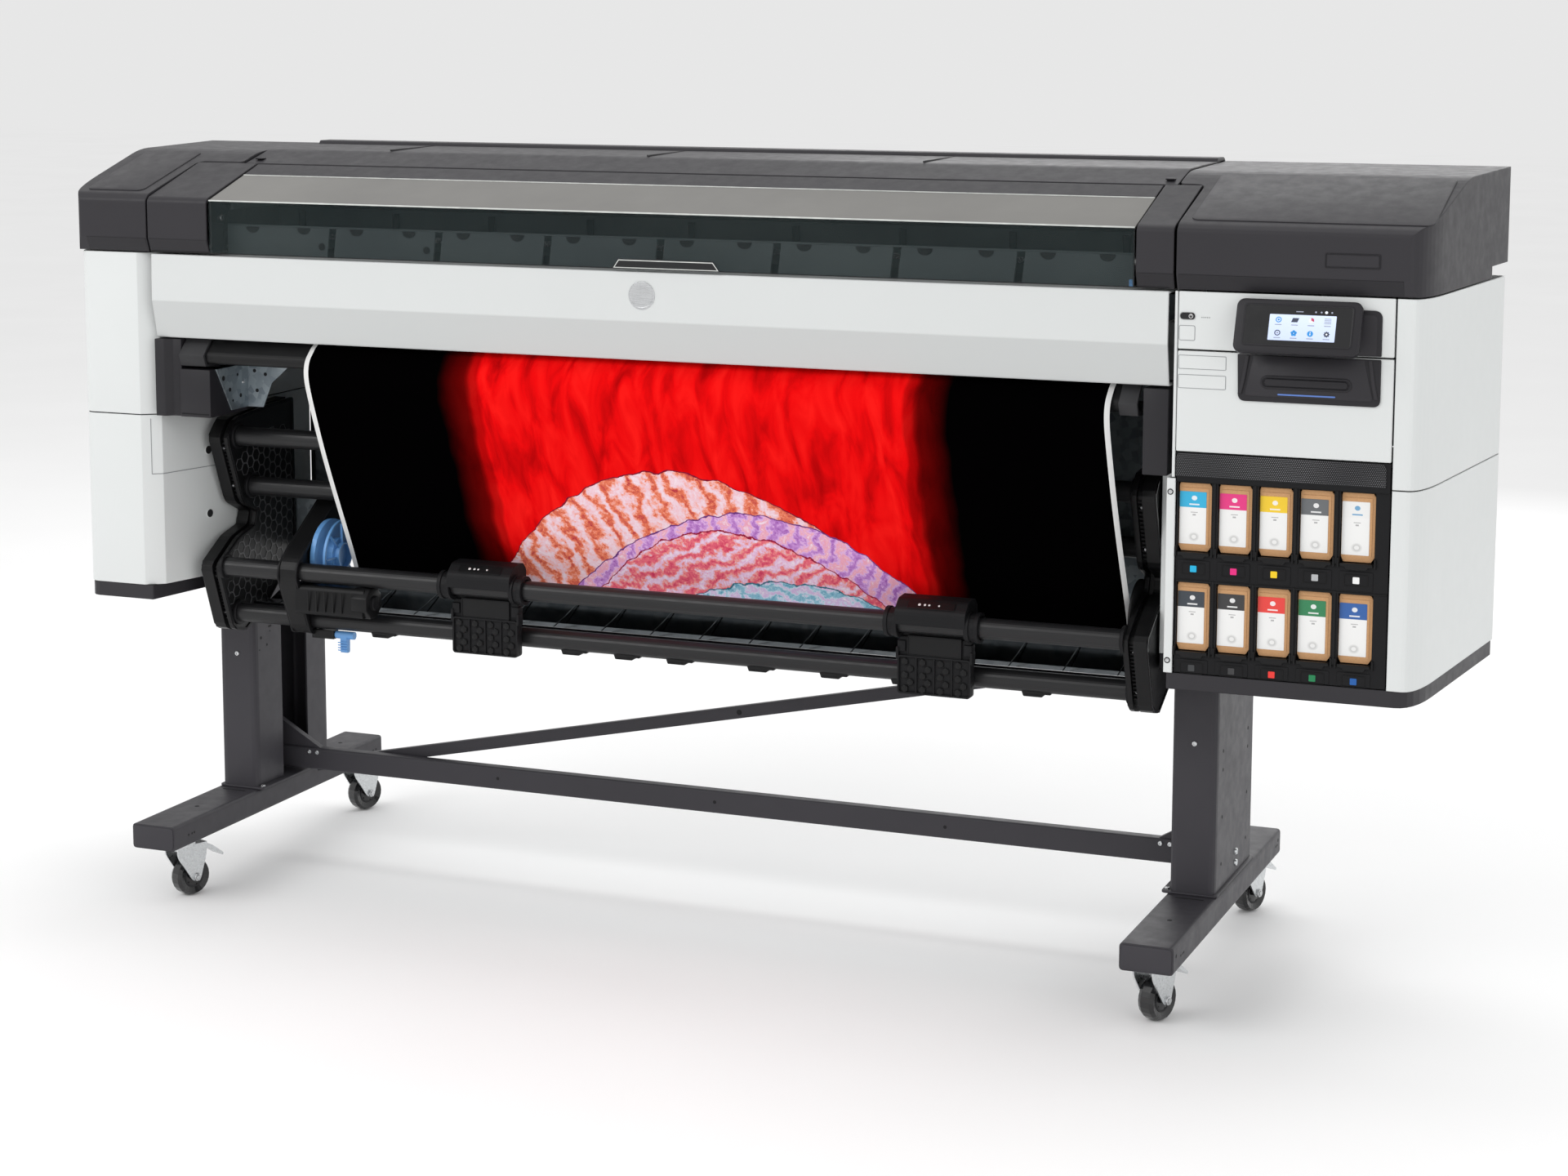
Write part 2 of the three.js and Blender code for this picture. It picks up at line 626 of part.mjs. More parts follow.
function cartridge(column, rowZ) {
  const x = POCKET.left + CARTRIDGE.side + column * POCKET.pitch;
  const z = rowZ + CARTRIDGE.foot;
  const { width, height } = CARTRIDGE;
  const face = [
    [x + 4, z], [x + width - 6, z], [x + width, z + 9], [x + width, z + height - 6],
    [x + width - 4, z + height],
    [x + 1.5, z + height], [x, z + height - 4], [x, z + 9],
  ];
  return prismY(outline(face), CARTRIDGE.front, CARTRIDGE.rear);
}

const INKS = [
  ['matte_black', 'photo_black', 'red', 'green', 'blue'],
  ['cyan', 'magenta', 'yellow', 'grey', 'clear'],
];

// ---- Assembly ----------------------------------------------------------------------------
for (const [name, side] of SIDES) {
  place(`${name}_foot`, footWithPads(side), 'steelPaint');
  place(`${name}_post`, post(side), 'steelPaint');
  place(`roll_bracket_${name}`, rollBracket(side), 'black');
}
place('cross_beam', crossBeam(), 'steelPaint');
place('diagonal_brace', diagonalBrace(), 'steelPaint');
addCasters();

place('left_base_tray', baseTray(leftHousingRing(2), leftHousingRing(6)), 'charcoal');
place('right_base_tray', baseTray(rightTrayRing(0), rightTrayRing(4)), 'charcoal');
place('left_lower_cover', leftCover(COVER_BOTTOM, COVER_SPLIT), 'white');
place('left_upper_cover', leftCover(COVER_SPLIT + 2, COVER_TOP), 'white');
place('right_lower_cover', rightCover(COVER_BOTTOM, COVER_SPLIT, 986, 1001), 'white');
place('right_upper_cover', rightUpperCover(), 'white');
place('left_end_cap', capShell(leftCapPlan(0), leftCapPlan(WALL)), 'charcoal');
place('right_top_cover', rightTopCover(), 'charcoal');
place('left_hinge_cover', hingeCover(-984, -855), 'charcoal');
place('right_hinge_cover', hingeCover(930, 993), 'charcoal');
place('rear_cover', rearCover(), 'charcoal');

place('front_panel', frontPanel(), 'white');
place('control_panel', controlPanel(), 'white');
place('power_button', powerButton(), 'black');
place('service_door', serviceDoor(), 'white');
place('console', screenUnit(), 'charcoal');
place('window_glass', windowGlass(), 'glass');
place('window_frame', windowFrame(), 'charcoal');

place('chassis', chassis(), 'galvanised');
place('output_platen', outputPlaten(), 'black');
place('print_carriage', printCarriage(), 'black');
place('cutter_carriage', cutterCarriage(), 'black');

place('upper_front_tube', tube(UPPER_FRONT_TUBE), 'tube');
place('upper_rear_tube', tube(UPPER_REAR_TUBE), 'tube');
place('loader_rail', tube(LOADER_RAIL), 'tube');
place('support_rail', tube(SUPPORT_RAIL), 'tube');
place('media_tray', mediaTray(), 'black');
place('media_sheet', mediaSheet(), 'media');
place('sliding_arm', slidingArm(), 'black');
place('roll_hub', rollHub(), 'blue');
place('lock_lever', lockLever(), 'blue');
place('loading_aid_left', loadingAid(-335), 'black');
place('loading_aid_right', loadingAid(550), 'black');

place('ink_bay', inkBay(), 'black');
POCKET.rows.forEach((rowZ, row) => {
  INKS[row].forEach((ink, column) => place(`cartridge_${ink}`, cartridge(column, rowZ), 'cardboard'));
});

const bounds = new THREE.Box3().setFromObject(machine, true);
const middle = bounds.getCenter(new THREE.Vector3());
machine.position.set(-middle.x, -middle.y, -bounds.min.z);

export default machine;
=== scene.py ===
"""Looks for the wide-format printer cutter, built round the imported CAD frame.

Lengths in this file are millimetres in the part's own layout, whose origin is on the floor in the
middle of the four casters; place() turns them into the frame's metres.
"""
import json
import math
from contextlib import contextmanager

import bmesh
import bpy
from mathutils import Matrix, Vector

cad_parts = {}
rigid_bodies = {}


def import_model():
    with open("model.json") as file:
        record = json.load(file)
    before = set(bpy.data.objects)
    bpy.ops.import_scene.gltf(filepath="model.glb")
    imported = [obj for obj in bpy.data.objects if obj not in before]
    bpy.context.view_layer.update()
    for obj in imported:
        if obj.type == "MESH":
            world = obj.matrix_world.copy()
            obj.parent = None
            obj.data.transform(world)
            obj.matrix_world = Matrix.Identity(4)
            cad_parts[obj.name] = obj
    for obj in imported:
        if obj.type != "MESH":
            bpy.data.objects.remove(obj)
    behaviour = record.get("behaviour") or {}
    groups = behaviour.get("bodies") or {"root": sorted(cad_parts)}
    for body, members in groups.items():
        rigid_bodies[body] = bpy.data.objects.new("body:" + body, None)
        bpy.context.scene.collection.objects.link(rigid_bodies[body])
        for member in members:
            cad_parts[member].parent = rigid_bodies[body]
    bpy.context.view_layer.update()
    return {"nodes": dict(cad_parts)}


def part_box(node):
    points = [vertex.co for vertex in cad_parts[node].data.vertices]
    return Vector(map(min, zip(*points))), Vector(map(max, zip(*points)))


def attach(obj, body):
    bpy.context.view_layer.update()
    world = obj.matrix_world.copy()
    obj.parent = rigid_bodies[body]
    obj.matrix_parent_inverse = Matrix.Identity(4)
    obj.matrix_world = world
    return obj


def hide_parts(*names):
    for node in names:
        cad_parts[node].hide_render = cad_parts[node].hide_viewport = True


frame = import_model()

# ---- Layout shared with the CAD part ---------------------------------------------------------
MM = 0.001
PANEL_LEFT, PANEL_FRONT = -983, -406
LOW_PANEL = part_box("front_panel")[0]
SHIFT = Vector((LOW_PANEL.x - PANEL_LEFT * MM, LOW_PANEL.y - PANEL_FRONT * MM, 0))
LOADER_RAIL = (-308, 652)
SUPPORT_RAIL = (-262, 554)
UPPER_FRONT_TUBE = (-255, 900)
UPPER_REAR_TUBE = (-210, 796)
ROLL_AXIS = (-215, 672)
INKS_LOW = ["matte_black", "photo_black", "red", "green", "blue"]
INKS_HIGH = ["cyan", "magenta", "yellow", "grey", "clear"]
POCKET_ROWS = (660.7, 828.7)
POCKET_LEFT, POCKET_PITCH, POCKET_HEIGHT = 1005, 67.5, 117


def place(x, y, z):
    """A layout point in millimetres as a point of the frame in metres."""
    return Vector((x, y, z)) * MM + SHIFT


# ---- Mesh helpers ----------------------------------------------------------------------------
def finish_object(bm, name, material, body, smooth=35):
    bmesh.ops.recalc_face_normals(bm, faces=bm.faces)
    mesh = bpy.data.meshes.new(name)
    bm.to_mesh(mesh)
    bm.free()
    for polygon in mesh.polygons:
        polygon.use_smooth = True
    mesh.set_sharp_from_angle(angle=math.radians(smooth))
    materials = material if isinstance(material, (list, tuple)) else [material]
    for one in materials:
        mesh.materials.append(one)
    made = bpy.data.objects.new(name, mesh)
    bpy.context.scene.collection.objects.link(made)
    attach(made, body)
    return made


AXIS_FRAMES = {
    "x": lambda a, b, c: (c, a, b),
    "y": lambda a, b, c: (a, c, b),
    "z": lambda a, b, c: (a, b, c),
}


def add_prism(bm, axis, outline, low, high, bevel=0.0, segments=2, material=0, matrix=None):
    """Extrudes an outline along an axis: x reads (y, z), y reads (x, z), z reads (x, y)."""
    to_xyz = AXIS_FRAMES[axis]
    part = bmesh.new()
    rings = [[part.verts.new(place(*to_xyz(a, b, c))) for a, b in outline] for c in (low, high)]
    part.faces.new(rings[0])
    part.faces.new(list(reversed(rings[1])))
    for i in range(len(outline)):
        j = (i + 1) % len(outline)
        part.faces.new((rings[0][i], rings[1][i], rings[1][j], rings[0][j]))
    finish_part(bm, part, bevel, segments, material, matrix)


def finish_part(bm, part, bevel, segments, material, matrix=None):
    bmesh.ops.recalc_face_normals(part, faces=part.faces)
    if bevel:
        sharp = [e for e in part.edges if len(e.link_faces) == 2 and e.calc_face_angle(0) > 0.55]
        bmesh.ops.bevel(part, geom=sharp, offset=bevel * MM, segments=segments, profile=0.5,
                        affect="EDGES", clamp_overlap=True)
    if matrix is not None:
        bmesh.ops.transform(part, matrix=matrix, verts=part.verts)
    for face in part.faces:
        face.material_index = material
    mesh = bpy.data.meshes.new("part")
    part.to_mesh(mesh)
    part.free()
    bm.from_mesh(mesh)
    bpy.data.meshes.remove(mesh)


def add_box(bm, x, y, z, bevel=0.0, segments=2, material=0, matrix=None):
    outline = [(x[0], z[0]), (x[1], z[0]), (x[1], z[1]), (x[0], z[1])]
    add_prism(bm, "y", outline, y[0], y[1], bevel, segments, material, matrix)


def rounded(x0, x1, z0, z1, radius, steps=6):
    """Outline of a rounded rectangle."""
    points = []
    corners = [(x1 - radius, z0 + radius, -90), (x1 - radius, z1 - radius, 0),
               (x0 + radius, z1 - radius, 90), (x0 + radius, z0 + radius, 180)]
    for cx, cz, start in corners:
        for k in range(steps + 1):
            turn = math.radians(start + 90 * k / steps)
            points.append((cx + radius * math.cos(turn), cz + radius * math.sin(turn)))
    return points


def rounded_polygon(points, radius, steps=5):
    """Rounds every corner of a polygon; radius may be one number or one per corner."""
    made = []
    count = len(points)
    for i, point in enumerate(points):
        r = radius[i] if isinstance(radius, (list, tuple)) else radius
        if not r:
            made.append(point)
            continue
        corner = Vector(point)
        before = Vector(points[i - 1]) - corner
        after = Vector(points[(i + 1) % count]) - corner
        start = corner + before.normalized() * min(r, before.length / 2)
        end = corner + after.normalized() * min(r, after.length / 2)
        for k in range(steps + 1):
            t = k / steps
            q = start * (1 - t) ** 2 + corner * 2 * t * (1 - t) + end * t * t
            made.append((q.x, q.y))
    return made


def circle(a, b, radius, sides=24, turn=0.0):
    return [(a + radius * math.cos(math.radians(turn) + 2 * math.pi * k / sides),
             b + radius * math.sin(math.radians(turn) + 2 * math.pi * k / sides)) for k in range(sides)]


def add_lathe(bm, axis, centre, profile, sides=32, material=0):
    """Turns a closed profile of (distance along, radius) about a line along x, y or z."""
    part = bmesh.new()
    rings = []
    for along, radius in profile:
        if radius <= 1e-6:
            ring = [part.verts.new(lathe_point(axis, centre, along, 0, 0))]
        else:
            ring = [part.verts.new(lathe_point(axis, centre, along, radius, 2 * math.pi * k / sides))
                    for k in range(sides)]
        rings.append(ring)
    for ring, following in zip(rings, rings[1:]):
        for k in range(sides):
            n = (k + 1) % sides
            corners = [ring[k % len(ring)], ring[n % len(ring)],
                       following[n % len(following)], following[k % len(following)]]
            unique = list(dict.fromkeys(corners))
            if len(unique) > 2:
                part.faces.new(unique)
    finish_part(bm, part, 0, 1, material)


def lathe_point(axis, centre, along, radius, turn):
    a, b = radius * math.cos(turn), radius * math.sin(turn)
    x, y, z = centre
    if axis == "x":
        return place(x + along, y + a, z + b)
    if axis == "y":
        return place(x + a, y + along, z + b)
    return place(x + a, y + b, z + along)


def screw_profile(radius, height, facing=-1):
    """A pan-head screw with a socket, standing out along the lathe's axis by height."""
    return [(along * facing, r) for along, r in [
        (-1.5, 0), (-1.5, radius), (height * 0.4, radius), (height * 0.85, radius * 0.86),
        (height, radius * 0.6), (height, radius * 0.45), (height * 0.3, radius * 0.4), (height * 0.3, 0)]]


@contextmanager
def piece(name, material, slot, body="base", smooth=35):
    """Collects shapes for one object: with piece(...) as bm: add_box(bm, ...)."""
    bm = bmesh.new()
    yield bm
    finish_object(bm, name, material, body, smooth)


# ---- Materials -------------------------------------------------------------------------------
class Nodes:
    """A material under construction, with short names for the nodes it uses most."""

    def __init__(self, name):
        self.material = bpy.data.materials.new(name)
        self.material.use_nodes = True
        self.tree = self.material.node_tree
        self.shader = self.tree.nodes["Principled BSDF"]
        self.coordinates = self.add("ShaderNodeTexCoord").outputs["Object"]

    def add(self, kind, **settings):
        node = self.tree.nodes.new(kind)
        for key, value in settings.items():
            setattr(node, key, value)
        return node

    def link(self, source, target):
        self.tree.links.new(source, target)

    def noise(self, scale, detail=4.0, roughness=0.6, stretch=None):
        node = self.add("ShaderNodeTexNoise")
        node.inputs["Scale"].default_value = scale
        node.inputs["Detail"].default_value = detail
        node.inputs["Roughness"].default_value = roughness
        self.link(self.stretched(stretch), node.inputs["Vector"])
        return node.outputs["Fac"]

    def stretched(self, stretch):
        if stretch is None:
            return self.coordinates
        mapping = self.add("ShaderNodeMapping")
        mapping.inputs["Scale"].default_value = stretch
        self.link(self.coordinates, mapping.inputs["Vector"])
        return mapping.outputs["Vector"]

    def ramp(self, source, stops):
        node = self.add("ShaderNodeValToRGB")
        ramp = node.color_ramp
        while len(ramp.elements) < len(stops):
            ramp.elements.new(0.5)
        for element, (position, color) in zip(ramp.elements, stops):
            element.position = position
            element.color = (*color, 1) if len(color) == 3 else color
        self.link(source, node.inputs["Fac"])
        return node.outputs["Color"]

    def spread(self, source, low, high):
        node = self.add("ShaderNodeMapRange")
        node.inputs["From Min"].default_value = 0.3
        node.inputs["From Max"].default_value = 0.7
        node.inputs["To Min"].default_value = low
        node.inputs["To Max"].default_value = high
        self.link(source, node.inputs["Value"])
        return node.outputs["Result"]

    def math(self, operation, a, b=None):
        node = self.add("ShaderNodeMath", operation=operation)
        for socket, value in zip(node.inputs, (a, b)):
            if isinstance(value, (int, float)):
                socket.default_value = value
            elif value is not None:
                self.link(value, socket)
        return node.outputs[0]

    def mix(self, factor, a, b):
        node = self.add("ShaderNodeMix", data_type="RGBA")
        for socket, value in ((node.inputs[0], factor), (node.inputs[6], a), (node.inputs[7], b)):
            if isinstance(value, (int, float)):
                socket.default_value = value
            elif isinstance(value, tuple):
                socket.default_value = (*value, 1)
            else:
                self.link(value, socket)
        return node.outputs[2]

    def bump(self, height, strength, distance, normal=None):
        node = self.add("ShaderNodeBump")
        node.inputs["Strength"].default_value = strength
        node.inputs["Distance"].default_value = distance
        self.link(height, node.inputs["Height"])
        if normal is not None:
            self.link(normal, node.inputs["Normal"])
        return node.outputs["Normal"]

    def edge(self, radius):
        node = self.add("ShaderNodeBevel", samples=4)
        node.inputs["Radius"].default_value = radius
        return node.outputs["Normal"]

    def set(self, **values):
        for key, value in values.items():
            self.shader.inputs[key.replace("_", " ")].default_value = value

    def split(self, vector):
        node = self.add("ShaderNodeSeparateXYZ")
        self.link(vector, node.inputs[0])
        return node.outputs

    def height_step(self, low, high):
        """0 under the height low, 1 over the height high, in the object's own metres."""
        step = self.add("ShaderNodeMapRange")
        step.inputs["From Min"].default_value = low
        step.inputs["From Max"].default_value = high
        self.link(self.split(self.coordinates)[2], step.inputs["Value"])
        return step.outputs[0]

    def wire(self, **sources):
        for key, source in sources.items():
            self.link(source, self.shader.inputs[key.replace("_", " ")])


# Heights in the frame's metres between which a look changes, and the painted shade under the panel's crease,
# as a factor on its colour.
PANEL_CREASE, PAINTED_SHADE_UNDER_CREASE = (1.172, 1.176), 0.84
WINDOW_BEND = (1.3635, 1.3665)
PAGE_FADE = (1.19, 1.25)


def shade(color, factor):
    return tuple(min(1.0, c * factor) for c in color)


def moulded(name, color, roughness=0.45, grain=0.12, mottle=0.06, edge=0.0, coat=0.0, specular=0.5,
            shade_below=None):
    """Moulded plastic or powder coat: fine grain, slow colour drift and uneven gloss, with optional painted
    shade under a given height.
    """
    n = Nodes(name)
    drift = n.noise(2.6, 3)
    fine = n.noise(900, 2, 0.5)
    tone = n.mix(n.spread(drift, 0, 1), shade(color, 1 - mottle), shade(color, 1 + mottle))
    speck = n.ramp(fine, [(0.42, (0, 0, 0)), (0.62, (1, 1, 1))])
    look = n.mix(n.math("MULTIPLY", speck, mottle * 1.4), tone, shade(color, 1.5))
    # Painted shade: below the given heights the colour is darkened.
    if shade_below:
        look = n.mix(n.height_step(*shade_below), shade(color, PAINTED_SHADE_UNDER_CREASE), look)
    n.wire(Base_Color=look)
    n.wire(Roughness=n.spread(n.noise(38, 4), roughness - 0.05, roughness + 0.06))
    n.set(Specular_IOR_Level=specular, Coat_Weight=coat, Coat_Roughness=0.12)
    n.wire(Normal=n.bump(fine, grain, 0.0002, n.edge(edge) if edge else None))
    return n.material


def metal(name, color, roughness, brush=(1, 1, 1), scale=240, metallic=1.0, edge=0.0006):
    n = Nodes(name)
    streak = n.noise(scale, 5, 0.65, brush)
    n.wire(Base_Color=n.mix(n.spread(streak, 0, 1), shade(color, 0.82), shade(color, 1.1)))
    n.wire(Roughness=n.spread(streak, roughness - 0.08, roughness + 0.1))
    n.set(Metallic=metallic)
    n.wire(Normal=n.bump(streak, 0.08, 0.0003, n.edge(edge)))
    return n.material


def galvanised(name):
    n = Nodes(name)
    cells = n.add("ShaderNodeTexVoronoi")
    cells.inputs["Scale"].default_value = 70
    n.link(n.coordinates, cells.inputs["Vector"])
    cell_color = n.ramp(cells.outputs["Color"], [(0.2, (0.23, 0.27, 0.30)), (0.8, (0.42, 0.47, 0.50))])
    n.wire(Base_Color=n.mix(n.spread(n.noise(9, 3), 0, 0.5), cell_color, (0.30, 0.34, 0.37)))
    n.wire(Roughness=n.spread(n.noise(60, 3), 0.38, 0.55))
    n.set(Metallic=0.8)
    n.wire(Normal=n.bump(n.noise(420, 2), 0.1, 0.0003, n.edge(0.0008)))
    return n.material


def kraft(name):
    n = Nodes(name)
    fibre = n.noise(260, 6, 0.7, (1, 1, 6))
    fleck = n.noise(1100, 2, 0.5)
    board = n.mix(n.spread(fibre, 0, 1), (0.50, 0.27, 0.125), (0.66, 0.385, 0.195))
    flecks = n.ramp(fleck, [(0.66, (0, 0, 0)), (0.74, (0.5, 0.5, 0.5))])
    n.wire(Base_Color=n.mix(flecks, board, (0.28, 0.14, 0.06)))
    n.set(Roughness=0.85, Specular_IOR_Level=0.25)
    n.wire(Normal=n.bump(fibre, 0.25, 0.0004, n.edge(0.0012)))
    return n.material


LABEL_ASPECT = 0.44               # scale of distances across a carton label, against those up it
LABEL_FIELD = (0.86, 0.86, 0.85)


def printed_label(name, header):
    """Carton label: a coloured header above a pale field with a faint ring near its foot."""
    n = Nodes(name)
    u, v, _ = n.split(n.add("ShaderNodeAttribute", attribute_name="label").outputs["Vector"])
    r = distance(n, u, v, 0.55, 0.14, LABEL_ASPECT)
    ring = n.ramp(r, [(0.0, (0.97, 0.97, 0.97)), (0.035, (0.97, 0.97, 0.97)), (0.045, (0.5, 0.5, 0.5)),
                      (0.095, (1, 1, 1))])
    shaded = n.add("ShaderNodeMix", data_type="RGBA", blend_type="MULTIPLY")
    shaded.inputs[0].default_value = 0.7
    shaded.inputs[6].default_value = (*LABEL_FIELD, 1)
    n.link(ring, shaded.inputs[7])
    bars = n.math("MULTIPLY", band(n, v, 0.60, 0.615), band(n, u, 0.42, 0.68))
    bars = n.math("MAXIMUM", bars, n.math("MULTIPLY", band(n, v, 0.545, 0.575), band(n, u, 0.49, 0.61)))
    inked = n.mix(n.math("MULTIPLY", bars, 0.6), shaded.outputs[2], (0.12, 0.12, 0.13))
    head = n.math("GREATER_THAN", v, 0.70)
    dot = n.math("LESS_THAN", distance(n, u, v, 0.55, 0.88, LABEL_ASPECT), 0.045)
    line = n.math("MULTIPLY", band(n, v, 0.745, 0.772), band(n, u, 0.36, 0.74))
    marks = n.math("MAXIMUM", dot, line)
    pale = sum(header) > 2.2
    mark_color = (0.02, 0.28, 0.55) if pale else (0.9, 0.9, 0.9)
    head_color = n.mix(n.math("MULTIPLY", marks, 0.85), header, mark_color)
    color = n.mix(head, inked, head_color)
    grain = n.noise(700, 3)
    n.wire(Base_Color=n.mix(n.math("MULTIPLY", grain, 0.10), color, (0.55, 0.52, 0.48)))
    n.wire(Roughness=n.spread(grain, 0.42, 0.55))
    n.wire(Normal=n.bump(grain, 0.06, 0.0002))
    return n.material


def band(n, value, low, high):
    return n.math("MULTIPLY", n.math("GREATER_THAN", value, low), n.math("LESS_THAN", value, high))


def distance(n, u, v, cu, cv, aspect):
    du = n.math("MULTIPLY", n.math("SUBTRACT", u, cu), aspect)
    dv = n.math("SUBTRACT", v, cv)
    return n.math("SQRT", n.math("ADD", n.math("MULTIPLY", du, du), n.math("MULTIPLY", dv, dv)))


WHITE = moulded("white_cover", (0.69, 0.71, 0.705), 0.42, 0.10, 0.012)
# Front panel: a darker copy of the white cover's colour as painted shade, with more painted shade under its
# crease.
WHITE_PAINTED_SHADE = moulded("white_cover_painted_shade", (0.64, 0.658, 0.654), 0.42, 0.10, 0.012, edge=0.003,
                        shade_below=PANEL_CREASE)
WHITE_EDGE = moulded("white_cover_edged", (0.69, 0.71, 0.705), 0.42, 0.10, 0.012, edge=0.003)
CHARCOAL = moulded("charcoal_cover", (0.027, 0.0255, 0.0295), 0.44, 0.30, 0.08, edge=0.0035, specular=0.28)
CHARCOAL_DARK = moulded("charcoal_dark", (0.016, 0.015, 0.018), 0.44, 0.3, 0.10, edge=0.002, specular=0.3)
STAND = moulded("stand_paint", (0.042, 0.040, 0.0465), 0.46, 0.22, 0.06, edge=0.0025, specular=0.3)
BLACK = moulded("black_moulding", (0.006, 0.006, 0.0065), 0.36, 0.10, 0.10, edge=0.002, specular=0.22)
BLACK_MATTE = moulded("black_textured", (0.008, 0.008, 0.009), 0.52, 0.22, 0.10, edge=0.001, specular=0.18)
GLOSS_BLACK = moulded("gloss_black", (0.004, 0.004, 0.005), 0.12, 0.02, 0.05, edge=0.001, coat=0.3,
                      specular=0.4)
TUBE = moulded("rail_tube", (0.012, 0.012, 0.013), 0.36, 0.02, 0.05, specular=0.35)
BLUE = moulded("blue_moulding", (0.13, 0.33, 0.66), 0.40, 0.12, 0.06, edge=0.001)
GREY = moulded("grey_rubber", (0.026, 0.026, 0.028), 0.55, 0.3, 0.10, edge=0.001, specular=0.3)
WHEEL = moulded("wheel_tread", (0.009, 0.009, 0.010), 0.22, 0.08, 0.10, edge=0.001, coat=0.3)
LIGHT_MARK = moulded("pale_marking", (0.72, 0.72, 0.72), 0.5, 0.05, 0.02)
LINE_GREY = moulded("grey_marking", (0.25, 0.26, 0.27), 0.5, 0.05, 0.02)
HOLE = moulded("hole_shadow", (0.006, 0.006, 0.007), 0.8, 0.05, 0.05)
ZINC = metal("zinc_steel", (0.70, 0.72, 0.73), 0.30)
STEEL = metal("screw_steel", (0.62, 0.63, 0.64), 0.24, scale=500)
BADGE = metal("badge_aluminium", (0.62, 0.63, 0.64), 0.26, (1, 1, 30), 60)
GALVANISED = galvanised("galvanised_steel")
KRAFT = kraft("kraft_board")


def window_material():
    """Smoked sheet: deep blue-green on the upright face, with a painted reflection of warm pale grey on the
    slope above its bend.
    """
    n = Nodes("smoked_window")
    above = n.height_step(*WINDOW_BEND)
    haze = n.spread(n.noise(3.2, 4), 0, 1)
    upright = n.mix(haze, (0.012, 0.022, 0.024), (0.030, 0.044, 0.044))
    painted_reflection = n.mix(haze, (0.19, 0.185, 0.175), (0.23, 0.225, 0.21))
    # Painted reflection: above the bend the sheet turns pale warm grey and less see-through.
    n.wire(Base_Color=n.mix(above, upright, painted_reflection))
    n.wire(Alpha=n.math("ADD", n.math("MULTIPLY", above, 0.54), 0.26))
    n.wire(Roughness=n.spread(n.noise(120, 3), 0.03, 0.07))
    n.set(IOR=1.50, Specular_IOR_Level=0.35)
    return n.material


def interior_material():
    """Dark blue-green sheet inside the window."""
    n = Nodes("inner_cover")
    drift = n.noise(5, 4)
    n.wire(Base_Color=n.mix(n.spread(drift, 0, 1), (0.060, 0.080, 0.086), (0.085, 0.108, 0.112)))
    n.wire(Roughness=n.spread(n.noise(45, 3), 0.42, 0.55))
    n.wire(Normal=n.bump(n.noise(800, 2), 0.15, 0.0002, n.edge(0.001)))
    return n.material


def mesh_band_material():
    """Dark band with staggered pale dots and a soft bright patch near its middle."""
    n = Nodes("dotted_band")
    x, _, z = n.split(n.coordinates)
    pitch = 0.0034
    column = n.math("DIVIDE", x, pitch)
    row = n.math("DIVIDE", z, pitch * 0.866)
    odd = n.math("MODULO", n.math("FLOOR", row), 2.0)
    column = n.math("ADD", column, n.math("MULTIPLY", odd, 0.5))
    r = distance(n, n.math("FRACT", column), n.math("FRACT", row), 0.5, 0.5, 1)
    dot = n.math("LESS_THAN", r, 0.27)
    glow = n.ramp(n.noise(4.5, 1), [(0.40, (0.045, 0.045, 0.05)), (0.62, (0.17, 0.17, 0.18))])
    n.wire(Base_Color=n.mix(dot, (0.008, 0.008, 0.009), glow))
    n.set(Roughness=0.42, Specular_IOR_Level=0.25)
    n.wire(Normal=n.bump(dot, 0.2, 0.0003))
    return n.material


WINDOW = window_material()
INTERIOR = interior_material()
MESH_BAND = mesh_band_material()


def print_material():
    """Black print with a glowing red centre band and an abstract wave pattern inside its pale margin."""
    n = Nodes("abstract_print")
    place_of = n.add("ShaderNodeAttribute", attribute_name="label").outputs["Vector"]
    u, v, _ = n.split(place_of)
    wobble = n.add("ShaderNodeTexNoise")
    wobble.inputs["Scale"].default_value = 3.2
    n.link(place_of, wobble.inputs["Vector"])
    shift = n.math("MULTIPLY", n.math("SUBTRACT", wobble.outputs["Fac"], 0.5), 0.035)
    away = n.math("ABSOLUTE", n.math("SUBTRACT", n.math("ADD", u, shift), 0.495))
    glow = n.ramp(away, [(0.0, (1, 1, 1)), (0.262, (1, 1, 1)), (0.264, (0.62, 0.62, 0.62)),
                         (0.276, (0.5, 0.5, 0.5)), (0.278, (0.16, 0.16, 0.16)), (0.315, (0, 0, 0))])
    stretch = n.add("ShaderNodeMapping")
    stretch.inputs["Scale"].default_value = (26, 2.4, 1)
    n.link(place_of, stretch.inputs["Vector"])
    brush = n.add("ShaderNodeTexNoise")
    brush.inputs["Scale"].default_value = 1.6
    brush.inputs["Detail"].default_value = 6
    brush.inputs["Distortion"].default_value = 0.7
    n.link(stretch.outputs["Vector"], brush.inputs["Vector"])
    red = n.ramp(brush.outputs["Fac"], [(0.28, (0.42, 0.002, 0.003)), (0.5, (0.80, 0.004, 0.005)),
                                        (0.7, (0.93, 0.012, 0.010))])
    ground = n.mix(glow, (0.0006, 0.0005, 0.0006), red)
    layered = ground
    for k, (top, sway, frequency, stops) in enumerate(PRINT_WAVES):
        layered = add_wave(n, layered, place_of, u, v, top, sway, frequency, stops, k)
    edge_u = n.math("MINIMUM", u, n.math("SUBTRACT", 1.0, u))
    margin = n.math("MAXIMUM", n.math("LESS_THAN", edge_u, 0.0062), n.math("LESS_THAN", v, 0.0))
    n.wire(Base_Color=n.mix(margin, layered, (0.80, 0.80, 0.79)))
    n.wire(Roughness=n.spread(n.noise(7, 3), 0.46, 0.58))
    n.set(Specular_IOR_Level=0.0)
    n.wire(Normal=n.bump(n.noise(260, 3), 0.04, 0.0002))
    return n.material


